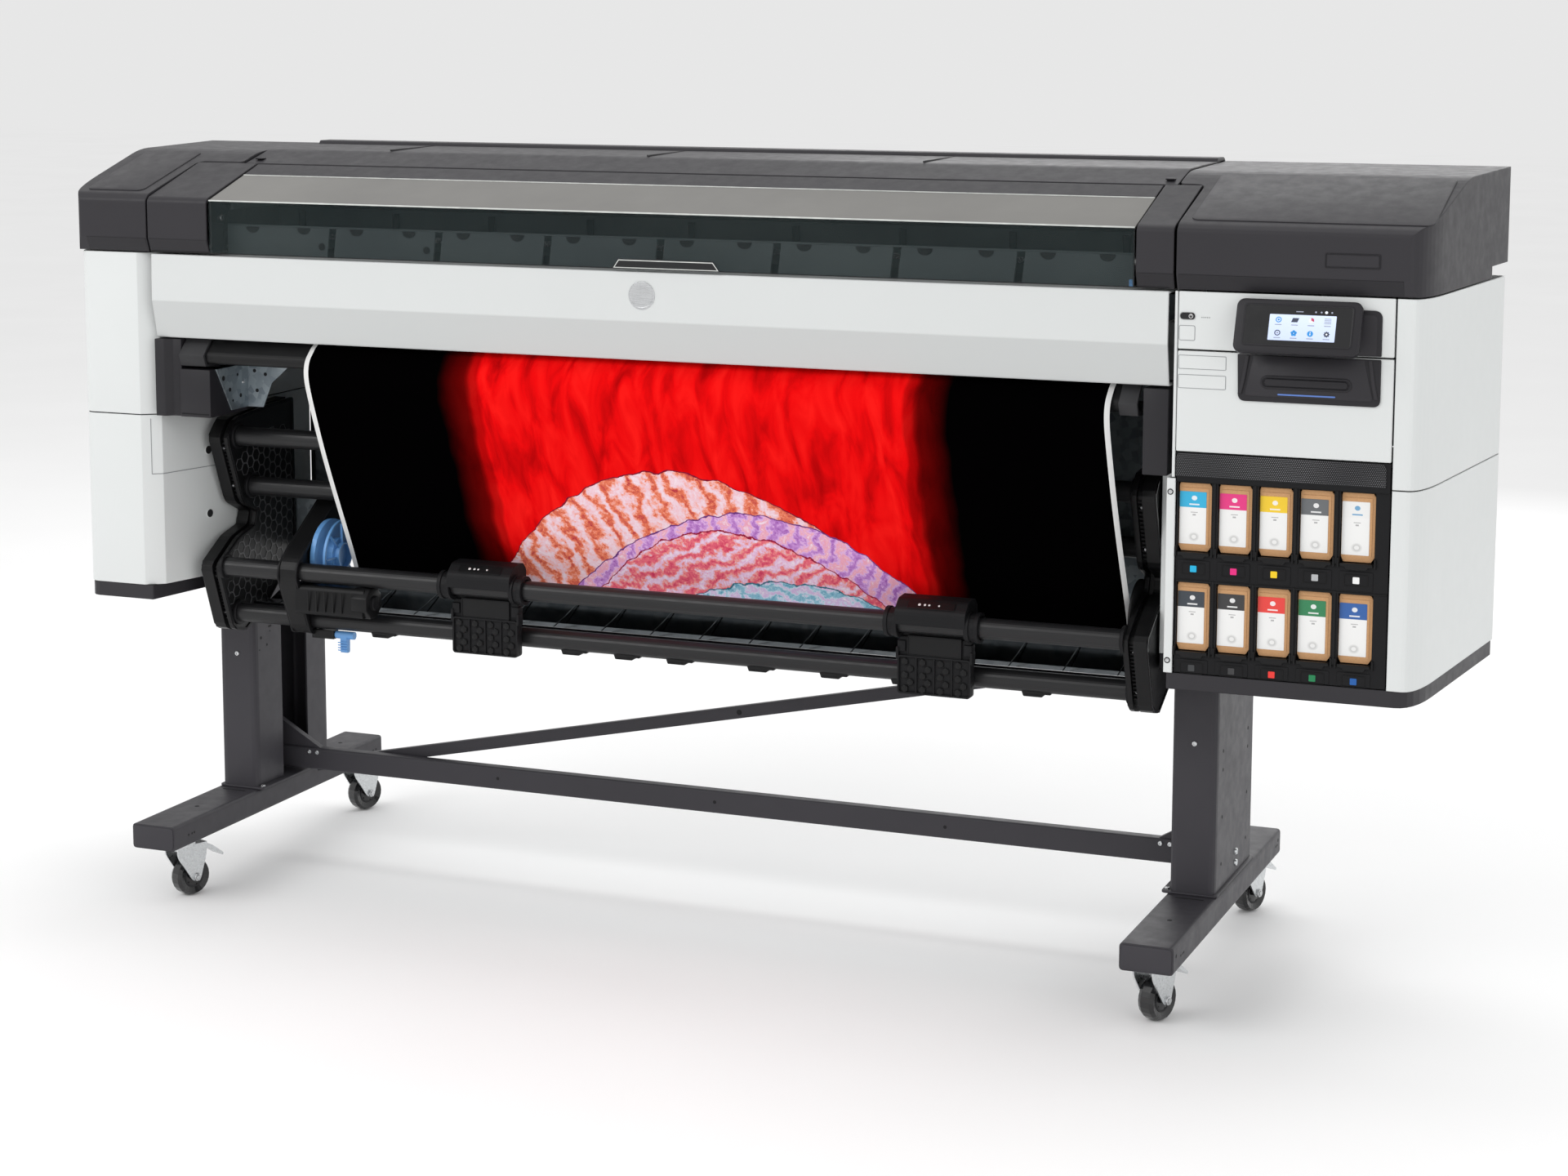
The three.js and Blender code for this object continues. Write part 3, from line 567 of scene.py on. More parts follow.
# Each wave of the print: height of its crest, sway, number of sways, and the colours of its feathers.
PRINT_WAVES = [
    (0.64, 0.09, 6.0, [(0.22, (0.44, 0.02, 0.06)), (0.38, (0.80, 0.20, 0.10)), (0.50, (0.90, 0.42, 0.36)),
                       (0.62, (0.86, 0.58, 0.66)), (0.76, (0.90, 0.74, 0.80))]),
    (0.47, 0.07, 7.5, [(0.22, (0.30, 0.08, 0.40)), (0.40, (0.58, 0.28, 0.66)), (0.52, (0.78, 0.50, 0.80)),
                       (0.64, (0.84, 0.36, 0.46)), (0.78, (0.90, 0.78, 0.88))]),
    (0.33, 0.06, 9.0, [(0.22, (0.62, 0.03, 0.10)), (0.38, (0.84, 0.16, 0.22)), (0.50, (0.88, 0.36, 0.30)),
                       (0.62, (0.80, 0.50, 0.74)), (0.76, (0.92, 0.80, 0.86))]),
    (0.19, 0.05, 11.0, [(0.22, (0.10, 0.34, 0.50)), (0.40, (0.34, 0.60, 0.74)), (0.52, (0.72, 0.78, 0.90)),
                        (0.64, (0.66, 0.46, 0.76)), (0.78, (0.90, 0.90, 0.94))]),
]


def add_wave(n, under, place_of, u, v, top, sway, frequency, stops, seed):
    """Lays one rounded, feathery hill of colour over what is under it."""
    bend = n.math("SINE", n.math("ADD", n.math("MULTIPLY", u, frequency), 1.7 * seed + 0.4))
    away = n.math("SUBTRACT", u, 0.50 + 0.02 * seed)
    dome = n.math("MULTIPLY", n.math("MULTIPLY", away, away), 7.5)
    crest = n.math("ADD", n.math("SUBTRACT", top, dome), n.math("MULTIPLY", bend, sway))
    even = n.add("ShaderNodeMapping")
    even.inputs["Scale"].default_value = (3.2, 1, 1)
    even.inputs["Rotation"].default_value = (0, 0, 0.5 + 0.7 * seed)
    n.link(place_of, even.inputs["Vector"])
    ragged = n.add("ShaderNodeTexNoise")
    ragged.inputs["Scale"].default_value = 9 + 2 * seed
    ragged.inputs["Detail"].default_value = 5
    n.link(even.outputs["Vector"], ragged.inputs["Vector"])
    crest = n.math("ADD", crest, n.math("MULTIPLY", n.math("SUBTRACT", ragged.outputs["Fac"], 0.5), 0.07))
    inside = n.math("LESS_THAN", v, crest)
    plume = n.add("ShaderNodeTexWave", wave_type="BANDS", bands_direction="DIAGONAL")
    plume.inputs["Scale"].default_value = 5 + seed
    plume.inputs["Distortion"].default_value = 11
    plume.inputs["Detail"].default_value = 6
    plume.inputs["Detail Scale"].default_value = 1.1
    plume.inputs["Detail Roughness"].default_value = 0.7
    n.link(even.outputs["Vector"], plume.inputs["Vector"])
    barbs = n.add("ShaderNodeTexNoise")
    barbs.inputs["Scale"].default_value = 26
    barbs.inputs["Detail"].default_value = 7
    barbs.inputs["Roughness"].default_value = 0.72
    barbs.inputs["Distortion"].default_value = 1.6
    n.link(even.outputs["Vector"], barbs.inputs["Vector"])
    tone = n.math("ADD", n.math("MULTIPLY", plume.outputs["Fac"], 0.34),
                  n.math("MULTIPLY", barbs.outputs["Fac"], 0.66))
    rim = band(n, n.math("SUBTRACT", crest, v), 0.0, 0.006)
    color = n.mix(rim, n.ramp(tone, stops), shade(stops[0][1], 0.5))
    return n.mix(inside, under, color)


PRINT = print_material()

# ---- CAD nodes keep their shapes and take their looks ------------------------------------------
CAD_LOOKS = {
    STAND: ["left_foot", "right_foot", "left_post", "right_post", "cross_beam", "diagonal_brace"],
    WHITE_EDGE: ["left_lower_cover", "left_upper_cover", "right_lower_cover", "right_upper_cover",
                 "control_panel", "service_door"],
    WHITE_PAINTED_SHADE: ["front_panel"],
    CHARCOAL: ["left_end_cap", "right_top_cover", "left_hinge_cover", "right_hinge_cover", "rear_cover",
               "left_base_tray", "right_base_tray", "window_frame"],
    CHARCOAL_DARK: ["console"],
    BLACK: ["roll_bracket_left", "roll_bracket_right", "output_platen", "print_carriage",
            "cutter_carriage", "sliding_arm"],
    BLACK_MATTE: ["ink_bay", "loading_aid_left", "loading_aid_right"],
    GLOSS_BLACK: ["media_tray", "power_button"],
    TUBE: ["upper_front_tube", "upper_rear_tube", "loader_rail", "support_rail"],
    BLUE: ["roll_hub", "lock_lever"],
    GALVANISED: ["chassis"],
    WINDOW: ["window_glass"],
    KRAFT: ["cartridge_" + ink for ink in INKS_LOW + INKS_HIGH],
    ZINC: [f"caster_fork_{end}_{side}" for end in ("front", "rear") for side in ("left", "right")],
    WHEEL: [f"caster_wheel_{end}_{side}" for end in ("front", "rear") for side in ("left", "right")],
    PRINT: ["media_sheet"],
}


for look, names in CAD_LOOKS.items():
    for name in names:
        node = frame["nodes"][name]
        for index in range(len(node.material_slots)):
            node.material_slots[index].material = look

# ---- Placing tilted shapes ---------------------------------------------------------------------
def tilted(centre, axis, degrees):
    """Moves shapes laid out about the layout's origin to centre, turned about an axis."""
    to_centre = Matrix.Translation(SHIFT + Vector(centre) * MM)
    return to_centre @ Matrix.Rotation(math.radians(degrees), 4, axis) @ Matrix.Translation(-SHIFT)


def close_loops(bm, part, loops, material, matrix):
    """Joins each loop to the next and the last to the first, as the four walls of a ring."""
    for first, second in zip(loops, loops[1:] + loops[:1]):
        for k in range(len(first)):
            n = (k + 1) % len(first)
            part.faces.new((first[k], first[n], second[n], second[k]))
    finish_part(bm, part, 0, 1, material, matrix)


def add_ring(bm, axis, centre, outer, inner, low, high, sides=6, turn=0.0, material=0, matrix=None):
    """A flat ring with straight or round sides, between low and high along its axis."""
    part = bmesh.new()
    to_xyz = AXIS_FRAMES[axis]
    loops = [[part.verts.new(place(*to_xyz(a, b, c))) for a, b in circle(*centre, radius, sides, turn)]
             for radius, c in ((outer, low), (outer, high), (inner, high), (inner, low))]
    close_loops(bm, part, loops, material, matrix)


def add_strip(bm, path, side, up, width, height, material=0):
    """A thin rectangular strip along a path, side to side across it and standing up by height."""
    part = bmesh.new()
    across, rise = Vector(side) * width / 2, Vector(up) * height
    sections = []
    for point in path:
        p = Vector(point)
        corners = (p - across, p + across, p + across + rise, p - across + rise)
        sections.append([part.verts.new(place(*corner)) for corner in corners])
    for first, second in zip(sections, sections[1:]):
        for k in range(4):
            n = (k + 1) % 4
            part.faces.new((first[k], first[n], second[n], second[k]))
    part.faces.new(sections[0])
    part.faces.new(list(reversed(sections[-1])))
    finish_part(bm, part, 0, 1, material)


def add_screw(bm, centre, facing, radius=4.0, height=2.2, material=0):
    """A screw head standing on a surface; facing is one of +x, -x, +y, -y, +z or -z."""
    sign = 1 if facing[0] == "+" else -1
    add_lathe(bm, facing[1], centre, screw_profile(radius, height, sign), 20, material)


def label_attribute(piece_object, x0, x1, z0, z1):
    """Gives each point its place on a label, 0 to 1 across and up, which the print reads."""
    mesh = piece_object.data
    attribute = mesh.attributes.new("label", "FLOAT_VECTOR", "POINT")
    for vertex, item in zip(mesh.vertices, attribute.data):
        x, _, z = (vertex.co - SHIFT) / MM
        item.vector = ((x - x0) / (x1 - x0), (z - z0) / (z1 - z0), 0)


# ---- Printed sheet -----------------------------------------------------------------------------
MEDIA_CURVE = [
    (-200, 1199), (-331, 1199), (-349, 1184), (-357, 1112), (-378, 1091), (-398, 1070), (-402, 1040),
    (-386, 990), (-351, 905), (-316, 830), (-281, 760), (-247, 692), (-226, 645), (-218, 622),
]
SHEET_LEFT, SHEET_RIGHT = -657, 887
NOSE_INDEX = 5


def smooth_path(points, steps):
    """Catmull-Rom curve through the points; also returns where each given point falls in it."""
    made, marks = [], []
    for i in range(len(points) - 1):
        p0, p1, p2, p3 = (Vector(points[min(max(i + k, 0), len(points) - 1)]) for k in (-1, 0, 1, 2))
        marks.append(len(made))
        for s in range(steps):
            t = s / steps
            q = 0.5 * (2 * p1 + (p2 - p0) * t + (2 * p0 - 5 * p1 + 4 * p2 - p3) * t * t
                       + (3 * p1 - p0 - 3 * p2 + p3) * t ** 3)
            made.append(q)
    marks.append(len(made))
    made.append(Vector(points[-1]))
    return made, marks


def add_printed_sheet():
    path, marks = smooth_path(MEDIA_CURVE, 5)
    lengths = [0.0]
    for a, b in zip(path, path[1:]):
        lengths.append(lengths[-1] + (b - a).length)
    nose = lengths[marks[NOSE_INDEX]]
    columns = 48
    bm = bmesh.new()
    layer = bm.verts.layers.float_vector.new("label")
    grid = []
    for point, along in zip(path, lengths):
        v = (lengths[-1] - along) / (lengths[-1] - nose)
        row = []
        for k in range(columns + 1):
            u = k / columns
            ripple = 1.3 * math.sin(9 * u + 2.4 * v) * max(0.0, 1 - v)
            x = SHEET_LEFT + u * (SHEET_RIGHT - SHEET_LEFT)
            vertex = bm.verts.new(place(x, point.x + ripple, point.y))
            vertex[layer] = (u, v, 0)
            row.append(vertex)
        grid.append(row)
    for upper, lower in zip(grid, grid[1:]):
        for k in range(columns):
            bm.faces.new((upper[k], lower[k], lower[k + 1], upper[k + 1]))
    made = finish_object(bm, "printed_sheet", [PRINT, SHEET_BACK], "base", 60)
    solidify = made.modifiers.new("thickness", "SOLIDIFY")
    solidify.thickness = 0.0006
    solidify.offset = 0
    face = made.data.polygons[len(made.data.polygons) // 2].normal
    solidify.material_offset = 1 if face.y < 0 else 0
    solidify.material_offset_rim = 1
    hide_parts("media_sheet")


SHEET_BACK = moulded("sheet_back", (0.76, 0.76, 0.75), 0.55, 0.05, 0.02)
add_printed_sheet()

# ---- Touch screen and service door -------------------------------------------------------------
SCREEN = {"centre": (1205, -438, 1216), "lean": -22.04, "half_width": 102, "half_height": 45.3, "depth": 17}


def display_material():
    """Lit screen: a pale blue page, a little darker towards its foot, behind glass."""
    n = Nodes("lit_page")
    page = n.mix(n.height_step(*PAGE_FADE), (0.50, 0.58, 0.82), (0.62, 0.70, 0.88))
    n.wire(Base_Color=page, Emission_Color=page)
    n.set(Roughness=0.15, Emission_Strength=0.35)
    return n.material


PAGE = display_material()
ICON_COLORS = {
    "icon_blue": (0.03, 0.30, 0.75), "icon_dark": (0.05, 0.06, 0.10), "icon_grey": (0.35, 0.38, 0.48),
    "icon_red": (0.55, 0.08, 0.16), "icon_white": (0.85, 0.88, 0.95),
}
ICONS = {name: moulded(name, color, 0.2, 0.02, 0.05) for name, color in ICON_COLORS.items()}
BLUE_LINE = moulded("blue_light_line", (0.10, 0.20, 0.55), 0.3, 0.02, 0.08)


def add_screen():
    lean = tilted(SCREEN["centre"], "X", SCREEN["lean"])
    w, h, d = SCREEN["half_width"], SCREEN["half_height"], SCREEN["depth"]
    looks = [CHARCOAL_DARK, GLOSS_BLACK, PAGE, *ICONS.values()]
    blue, dark, grey, red, white = (3 + k for k in range(5))
    with piece("touch_screen", looks, "charcoal_cover", "screen") as bm:
        add_prism(bm, "y", rounded(-w, w, -h, h, 13, 8), 0, d, 3.2, 4, 0, lean)
        add_ring_frame(bm, (-88, 90, -34, 36), 2.2, (-1.2, 0.4), 6, lean)
        add_prism(bm, "y", rounded(-86, 88, -32, 34, 4, 4), -0.35, 0.5, 0, 1, 1, lean)
        add_prism(bm, "y", rounded(-46, 62, -24, 19.5, 1, 2), -0.65, -0.2, 0, 1, 2, lean)
        for k, x in enumerate((28, 37, 45, 54)):
            color = white if k == 2 else grey
            add_prism(bm, "y", circle(x, 25, 2.4 if k == 2 else 1.5, 16), -0.8, -0.3, 0, 1, color, lean)
        add_prism(bm, "y", rounded(-4, 8, 24.2, 25.6, 0.6, 2), -0.8, -0.3, 0, 1, grey, lean)
        for row, z in enumerate((10.5, -11.5)):
            for column in range(4):
                x = -31 + column * 26.5
                add_icon(bm, x, z, row * 4 + column, (blue, dark, grey, red, white), lean)
                caption = rounded(x - 5.5, x + 5.5, z - 9, z - 7.6, 0.6, 2)
                add_prism(bm, "y", caption, -0.85, -0.5, 0, 1, grey, lean)
        add_lathe(bm, "x", (1205, -407.5, 1248), [(-55, 0), (-55, 5), (55, 5), (55, 0)], 20, 0)
    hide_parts("console")


def add_ring_frame(bm, bounds_of, width, depth, radius, matrix=None, material=0):
    """A raised rounded frame round a rectangle."""
    x0, x1, z0, z1 = bounds_of
    outer = rounded(x0, x1, z0, z1, radius, 5)
    inner = rounded(x0 + width, x1 - width, z0 + width, z1 - width, max(radius - width, 0.5), 5)
    part = bmesh.new()
    loops = [[part.verts.new(place(a, c, b)) for a, b in line]
             for line, c in ((outer, depth[1]), (outer, depth[0]), (inner, depth[0]), (inner, depth[1]))]
    close_loops(bm, part, loops, material, matrix)


def add_icon(bm, x, z, kind, colors, matrix):
    blue, dark, grey, red, white = colors
    front = (-1.0, -0.55)
    if kind in (0, 4):
        add_ring(bm, "y", (x, z), 4.8, 3.4, *front, 20, 0, blue if kind == 0 else dark, matrix)
        add_prism(bm, "y", circle(x, z, 1.6, 12), *front, 0, 1, blue if kind == 0 else grey, matrix)
    elif kind == 1:
        tile = [(x - 6, z - 3.5), (x + 4, z - 3.5), (x + 6.5, z + 3.5), (x - 3.5, z + 3.5)]
        add_prism(bm, "y", tile, *front, 0, 1, dark, matrix)
    elif kind == 2:
        add_prism(bm, "y", circle(x, z, 4.6, 20), *front, 0, 1, white, matrix)
        arc = [(x + 4.6 * math.cos(t / 10), z + 4.6 * math.sin(t / 10)) for t in range(-4, 20, 3)]
        wedge = [(x, z)] + arc
        add_prism(bm, "y", wedge, front[0] - 0.2, front[1], 0, 1, red, matrix)
    elif kind == 3:
        for k in range(4):
            add_prism(bm, "y", rounded(x - 5.5, x + 5.5, z - 4.5 + 2.6 * k, z - 3.5 + 2.6 * k, 0.4, 2),
                      *front, 0, 1, grey, matrix)
    elif kind == 5:
        for k in range(5):
            turn = math.radians(72 * k + 18)
            add_prism(bm, "y", circle(x + 3 * math.cos(turn), z + 3 * math.sin(turn), 2.2, 12),
                      *front, 0, 1, blue, matrix)
    elif kind == 6:
        add_prism(bm, "y", circle(x, z, 4.8, 24), *front, 0, 1, blue, matrix)
        stem = rounded(x - 0.8, x + 0.8, z - 2.6, z + 0.8, 0.4, 2)
        add_prism(bm, "y", stem, -1.2, -0.6, 0, 1, white, matrix)
        add_prism(bm, "y", circle(x, z + 2.4, 0.9, 10), -1.2, -0.6, 0, 1, white, matrix)
    else:
        gear = []
        for k in range(32):
            radius = 5.0 if k % 4 < 2 else 3.9
            gear.append((x + radius * math.cos(k * math.pi / 16), z + radius * math.sin(k * math.pi / 16)))
        add_prism(bm, "y", gear, *front, 0, 1, dark, matrix)
        add_prism(bm, "y", circle(x, z, 1.6, 12), -1.15, -0.6, 0, 1, white, matrix)


def add_control_area():
    upper = rounded_polygon([(1101, 1169), (1101, 1243), (1335, 1243), (1335, 1169)], [0, 14, 14, 0], 6)
    upper_inner = rounded_polygon([(1109, 1169), (1109, 1236), (1327, 1236), (1327, 1169)], [0, 9, 9, 0], 6)
    with piece("screen_recess", [CHARCOAL_DARK, CHARCOAL], "charcoal_cover") as bm:
        add_prism(bm, "y", upper, -404.6, -402.1, 1.2, 3)
        add_prism(bm, "y", upper_inner, -405.2, -404.5, 0.3, 1, 1)
    lower = rounded_polygon([(1101, 1164), (1335, 1164), (1335, 1087), (1103, 1087)], [0, 0, 12, 12], 6)
    inner = rounded_polygon([(1128, 1163.5), (1308, 1163.5), (1324, 1096), (1113, 1096)], [0, 0, 8, 8], 5)
    with piece("door_recess", [CHARCOAL_DARK, CHARCOAL, BLUE_LINE], "charcoal_cover", "door") as bm:
        add_prism(bm, "y", lower, -406.0, -402.1, 2.0, 3)
        add_prism(bm, "y", inner, -406.9, -405.8, 0.8, 2, 1)
        for x, sweep in ((1118, -12), (1318, 11)):
            path = [(x, -406.6, 1163), (x + sweep * 0.55, -406.6, 1122), (x + sweep, -406.4, 1099)]
            add_strip(bm, path, (1, 0, 0), (0, -1, 0), 6, 1.4, 1)
        add_ring_frame(bm, (1141, 1289, 1109.5, 1130.5), 3.0, (-408.6, -406.4), 10)
        add_prism(bm, "y", rounded(1147, 1283, 1114, 1126, 5.9, 6), -409.6, -406.4, 1.6, 3)
        add_prism(bm, "y", rounded(1169, 1263, 1099.4, 1101.8, 1, 3), -407.5, -406.5, 0, 1, 2)
    with piece("panel_markings", [LIGHT_MARK, LINE_GREY, WHITE, HOLE], "white_cover") as bm:
        add_ring_frame(bm, (1002, 1029, 1182, 1207), 0.7, (-402.5, -402.0), 3, None, 1)
        add_prism(bm, "y", rounded(1003, 1028, 1183, 1206, 2.5, 3), -402.3, -402.0, 0, 1, 2)
        for k in range(5):
            add_prism(bm, "y", circle(1040 + 3.1 * k, 1221, 0.75, 8), -402.3, -401.9, 0, 1, 3)
    with piece("door_labels", [WHITE, LINE_GREY], "white_cover", "door") as bm:
        for z0, z1 in ((1135, 1158), (1103, 1126)):
            add_ring_frame(bm, (1002, 1082, z0, z1), 0.7, (-402.5, -402.0), 2, None, 1)
            add_prism(bm, "y", rounded(1003, 1081, z0 + 1, z1 - 1, 1.6, 3), -402.35, -402.0, 0, 1, 0)
    with piece("power_symbol", [LIGHT_MARK], "black_plastic", "button") as bm:
        add_ring(bm, "y", (1022, 1222.5), 3.6, 2.7, -404.3, -403.9, 24)
        add_prism(bm, "y", rounded(1021.5, 1022.5, 1222.5, 1226.6, 0.4, 2), -404.35, -403.9, 0, 1)


add_screen()
add_control_area()

# ---- Ink bay -----------------------------------------------------------------------------------
INK_COLORS = {
    "cyan": (0.0, 0.42, 0.70), "magenta": (0.78, 0.008, 0.20), "yellow": (0.88, 0.58, 0.0),
    "grey": (0.11, 0.12, 0.13), "clear": (0.84, 0.84, 0.83), "matte_black": (0.014, 0.026, 0.042),
    "photo_black": (0.012, 0.012, 0.015), "red": (0.80, 0.028, 0.020), "green": (0.0, 0.20, 0.065),
    "blue": (0.0, 0.09, 0.36),
}
KEY_COLORS = dict(INK_COLORS, grey=(0.42, 0.43, 0.44), matte_black=(0.03, 0.032, 0.035),
                  photo_black=(0.03, 0.03, 0.032))


def pocket_places():
    for row_z, inks in zip(POCKET_ROWS, (INKS_LOW, INKS_HIGH)):
        for column, ink in enumerate(inks):
            yield ink, POCKET_LEFT + column * POCKET_PITCH, row_z


def add_cartridge_labels():
    for ink, x, z in pocket_places():
        left, right, low, high = x + 1.6, x + 46.5, z + 13, z + 101
        look = printed_label("label_" + ink, INK_COLORS[ink])
        with piece("carton_label_" + ink, look, "ink_carton", "cartridge_" + ink) as bm:
            add_prism(bm, "y", rounded(left, right, low, high, 1.2, 3), -391.5, -391.0)
        label_attribute(bpy.data.objects["carton_label_" + ink], left, right, low, high)
        with piece("carton_flaps_" + ink, KRAFT, "ink_carton", "cartridge_" + ink) as bm:
            add_box(bm, (x + 5, x + 51), (-391.4, -391.0), (z + 107, z + 108))
            add_box(bm, (x + 50.4, x + 51.2), (-391.4, -391.0), (z + 12, z + 106))


def add_bay_details():
    keys = [moulded("key_" + ink, KEY_COLORS[ink], 0.35, 0.03, 0.05) for ink in INKS_LOW + INKS_HIGH]
    with piece("ink_bay_frame", [BLACK, BLACK_MATTE], "black_plastic") as bm:
        for row_z in POCKET_ROWS:
            for k in range(1, 5):
                x = POCKET_LEFT + k * POCKET_PITCH - 5.3
                add_box(bm, (x - 2.2, x + 2.2), (-400.2, -398.0), (row_z - 2, row_z + POCKET_HEIGHT + 4), 0.8)
            top = row_z + POCKET_HEIGHT
            add_box(bm, (1004, 1354), (-399.4, -398.0), (top + 0.8, top + 3.6), 0.5)
        for _, x, z in pocket_places():
            latch = [(x + 2, z + 0.6), (x + 2, z - 5), (x + 9, z - 5), (x + 12, z - 10), (x + 45, z - 10),
                     (x + 48, z - 5), (x + 55, z - 5), (x + 55, z + 0.6)]
            add_prism(bm, "y", rounded_polygon(latch, 1.2, 2), -403.4, -398.0, 0.8, 2)
            for side in (x - 3.6, x + 56.8):
                add_box(bm, (side, side + 3.4), (-402.0, -398.0), (z - 7, z + 9), 0.8)
            plate = (x + 1, x + 56, max(z - 45, 624.8), z - 13)
            add_prism(bm, "y", rounded(*plate, 2, 3), -399.0, -398.0, 0.4, 1, 1)
            add_ring_frame(bm, (x + 9, x + 48, z - 37, z - 17.5), 0.9, (-399.9, -398.9), 2)
    with piece("ink_keys", keys, "black_plastic") as bm:
        for k, (_, x, z) in enumerate(pocket_places()):
            add_prism(bm, "y", rounded(x + 23, x + 34, z - 33, z - 22, 1.2, 3), -399.8, -398.8, 0.2, 1, k)
    with piece("dotted_band", MESH_BAND, "black_plastic") as bm:
        shape = rounded_polygon([(1002, 956), (1002, 995), (1348, 995), (1348, 956)], [0, 9, 9, 0], 5)
        add_prism(bm, "y", shape, -403.2, -402.1, 0.4, 1)
    with piece("cover_strip_screws", [STEEL, HOLE], "zinc_steel") as bm:
        for z in (929, 644):
            add_prism(bm, "y", circle(993, z, 5.2, 20), -402.3, -401.9, 0, 1, 1)
            add_screw(bm, (993, -402.2, z), "-y", 3.6, 1.4)


add_cartridge_labels()
add_bay_details()

# ---- Outline helpers ---------------------------------------------------------------------------
def inset_outline(points, distance):
    """Moves each side of a counter-clockwise outline inwards by distance."""
    moved = []
    for i, point in enumerate(points):
        before, here, after = (Vector(points[(i + k) % len(points)]) for k in (-1, 0, 1))
        first, second = (here - before).normalized(), (after - here).normalized()
        normal = Vector((-first.y - second.y, first.x + second.x))
        scale = distance / max(normal.length / 2, 0.5) ** 2 / 2
        moved.append(here + normal * scale)
    return [tuple(point) for point in moved]


def counter_clockwise(points):
    area = sum(a[0] * b[1] - b[0] * a[1] for a, b in zip(points, points[1:] + points[:1]))
    return points if area > 0 else list(reversed(points))


def add_rim(bm, axis, outline, inset, width, low, high, material=0, matrix=None):
    """A raised band that follows an outline, inset from it and standing between low and high."""
    outline = counter_clockwise(outline)
    outer, inner = inset_outline(outline, inset), inset_outline(outline, inset + width)
    to_xyz = AXIS_FRAMES[axis]
    part = bmesh.new()
    loops = [[part.verts.new(place(*to_xyz(a, b, c))) for a, b in line]
             for line, c in ((outer, low), (outer, high), (inner, high), (inner, low))]
    close_loops(bm, part, loops, material, matrix)


def inside(point, outline):
    x, y = point
    found = False
    for (ax, ay), (bx, by) in zip(outline, outline[1:] + outline[:1]):
        if (ay > y) != (by > y) and x < (bx - ax) * (y - ay) / (by - ay) + ax:
            found = not found
    return found


# ---- Window and what shows through it ----------------------------------------------------------
LID_SIDES = (("left", -851, -848), ("right", 923, 926))
LID_SPAN = (-851, 926)
TAB_PITCH = 111


def add_window_details():
    side = [(-406, 1268), (-406, 1363), (-284, 1402), (-284, 1392), (-345, 1345), (-352, 1268)]
    with piece("lid_sides", [GLOSS_BLACK, STEEL], "smoked_window", "window_lid") as bm:
        for _, low, high in LID_SIDES:
            add_prism(bm, "x", rounded_polygon(side, 3, 3), low, high, 0.6, 1)
        add_prism(bm, "x", circle(-372, 1332, 6.5, 6), -847.8, -844, 0.6, 1, 1)
    # Painted highlight: pale strips along the lid's bend and along its top edge.
    with piece("lid_edge_highlight", EDGE_HIGHLIGHT, "smoked_window", "window_lid") as bm:
        add_box(bm, LID_SPAN, (-409.6, -407.6), (1364.6, 1367.2), 0.5)
        add_box(bm, LID_SPAN, (-284, -281), (1405.6, 1408.0), 0.5)
    # The notch's rim is a painted highlight too.
    with piece("lid_finger_notch", [EDGE_HIGHLIGHT, GLOSS_BLACK], "smoked_window", "window_lid") as bm:
        notch = [(-19, 1268.3), (-9, 1283), (172, 1283), (183, 1268.3)]
        add_prism(bm, "y", inset_outline(notch, 1.6), -409.6, -409.0, 0, 1, 1)
        add_rim(bm, "y", notch, 0, 1.6, -410.0, -409.0)
    with piece("lid_bumpers", GREY, "black_plastic", "window_lid") as bm:
        for x in (-700, -330, 240, 610):
            add_box(bm, (x, x + 9), (-262, -252), (1409.5, 1414.5), 1)
    with piece("lid_catch", BLUE, "blue_plastic") as bm:
        add_box(bm, (916, 924), (-403, -396), (1267, 1279), 1)
    with piece("inner_panels", [INTERIOR, HOLE, INTERIOR_LINE], "charcoal_cover") as bm:
        for k in range(8):
            left = -843 + k * 2 * TAB_PITCH
            right = min(left + 2 * TAB_PITCH - 2, 918)
            face = [(left + 4, 1246), (right - 8, 1246), (right, 1316), (left + 12, 1316)]
            if k == 0:
                face = [(left, 1246), (right - 8, 1246), (right, 1316), (left, 1316)]
            add_prism(bm, "y", rounded_polygon(face, 2, 2), -357, -353, 0.5, 1)
            for tab in (0.25, 0.75):
                x = left + (right - left) * tab
                turns = [math.pi * (1 + t / 8) for t in range(9)]
                half = [(x + 14 * math.cos(turn), 1315.5 + 12 * math.sin(turn)) for turn in turns]
                add_prism(bm, "y", half, -358.2, -356.8, 0.3, 1, 1)
            add_box(bm, (right - 22, right - 12), (-357.6, -356.9), (1256, 1257.4), 0, 1, 2)
        for x in (-640, -420):
            add_prism(bm, "y", circle(x, 1282, 7, 16), -358, -356.8, 0.3, 1, 1)
        add_box(bm, (-843, 918), (-357, -353.5), (1316, 1319.5), 0.6)
    with piece("inner_beam", [INTERIOR, BLACK, STEEL], "charcoal_cover") as bm:
        add_box(bm, (-846, 921), (-165, -150), (1262, 1385), 2)
        add_box(bm, (-846, 921), (-172, -165), (1340, 1352), 1.5, 1, 1)
        add_box(bm, (-846, 921), (-176, -165), (1280, 1290), 1.0, 1, 2)
        for k in range(9):
            add_box(bm, (-800 + k * 205, -786 + k * 205), (-170, -165), (1296, 1334), 1.5, 2, 1)
        for x in (-846, 917):
            add_box(bm, (x, x + 4), (-340, -150), (1345, 1380), 1)


# Pale grey for the lid's thin strips: a painted highlight.
def glass_edge_highlight():
    n = Nodes("glass_edge_highlight")
    n.wire(Base_Color=n.mix(n.spread(n.noise(40, 3), 0, 1), (0.50, 0.52, 0.50), (0.68, 0.70, 0.67)))
    n.wire(Roughness=n.spread(n.noise(90, 2), 0.10, 0.22))
    return n.material


EDGE_HIGHLIGHT = glass_edge_highlight()
INTERIOR_LINE = moulded("inner_cover_line", (0.012, 0.016, 0.018), 0.5, 0.1, 0.05)
add_window_details()


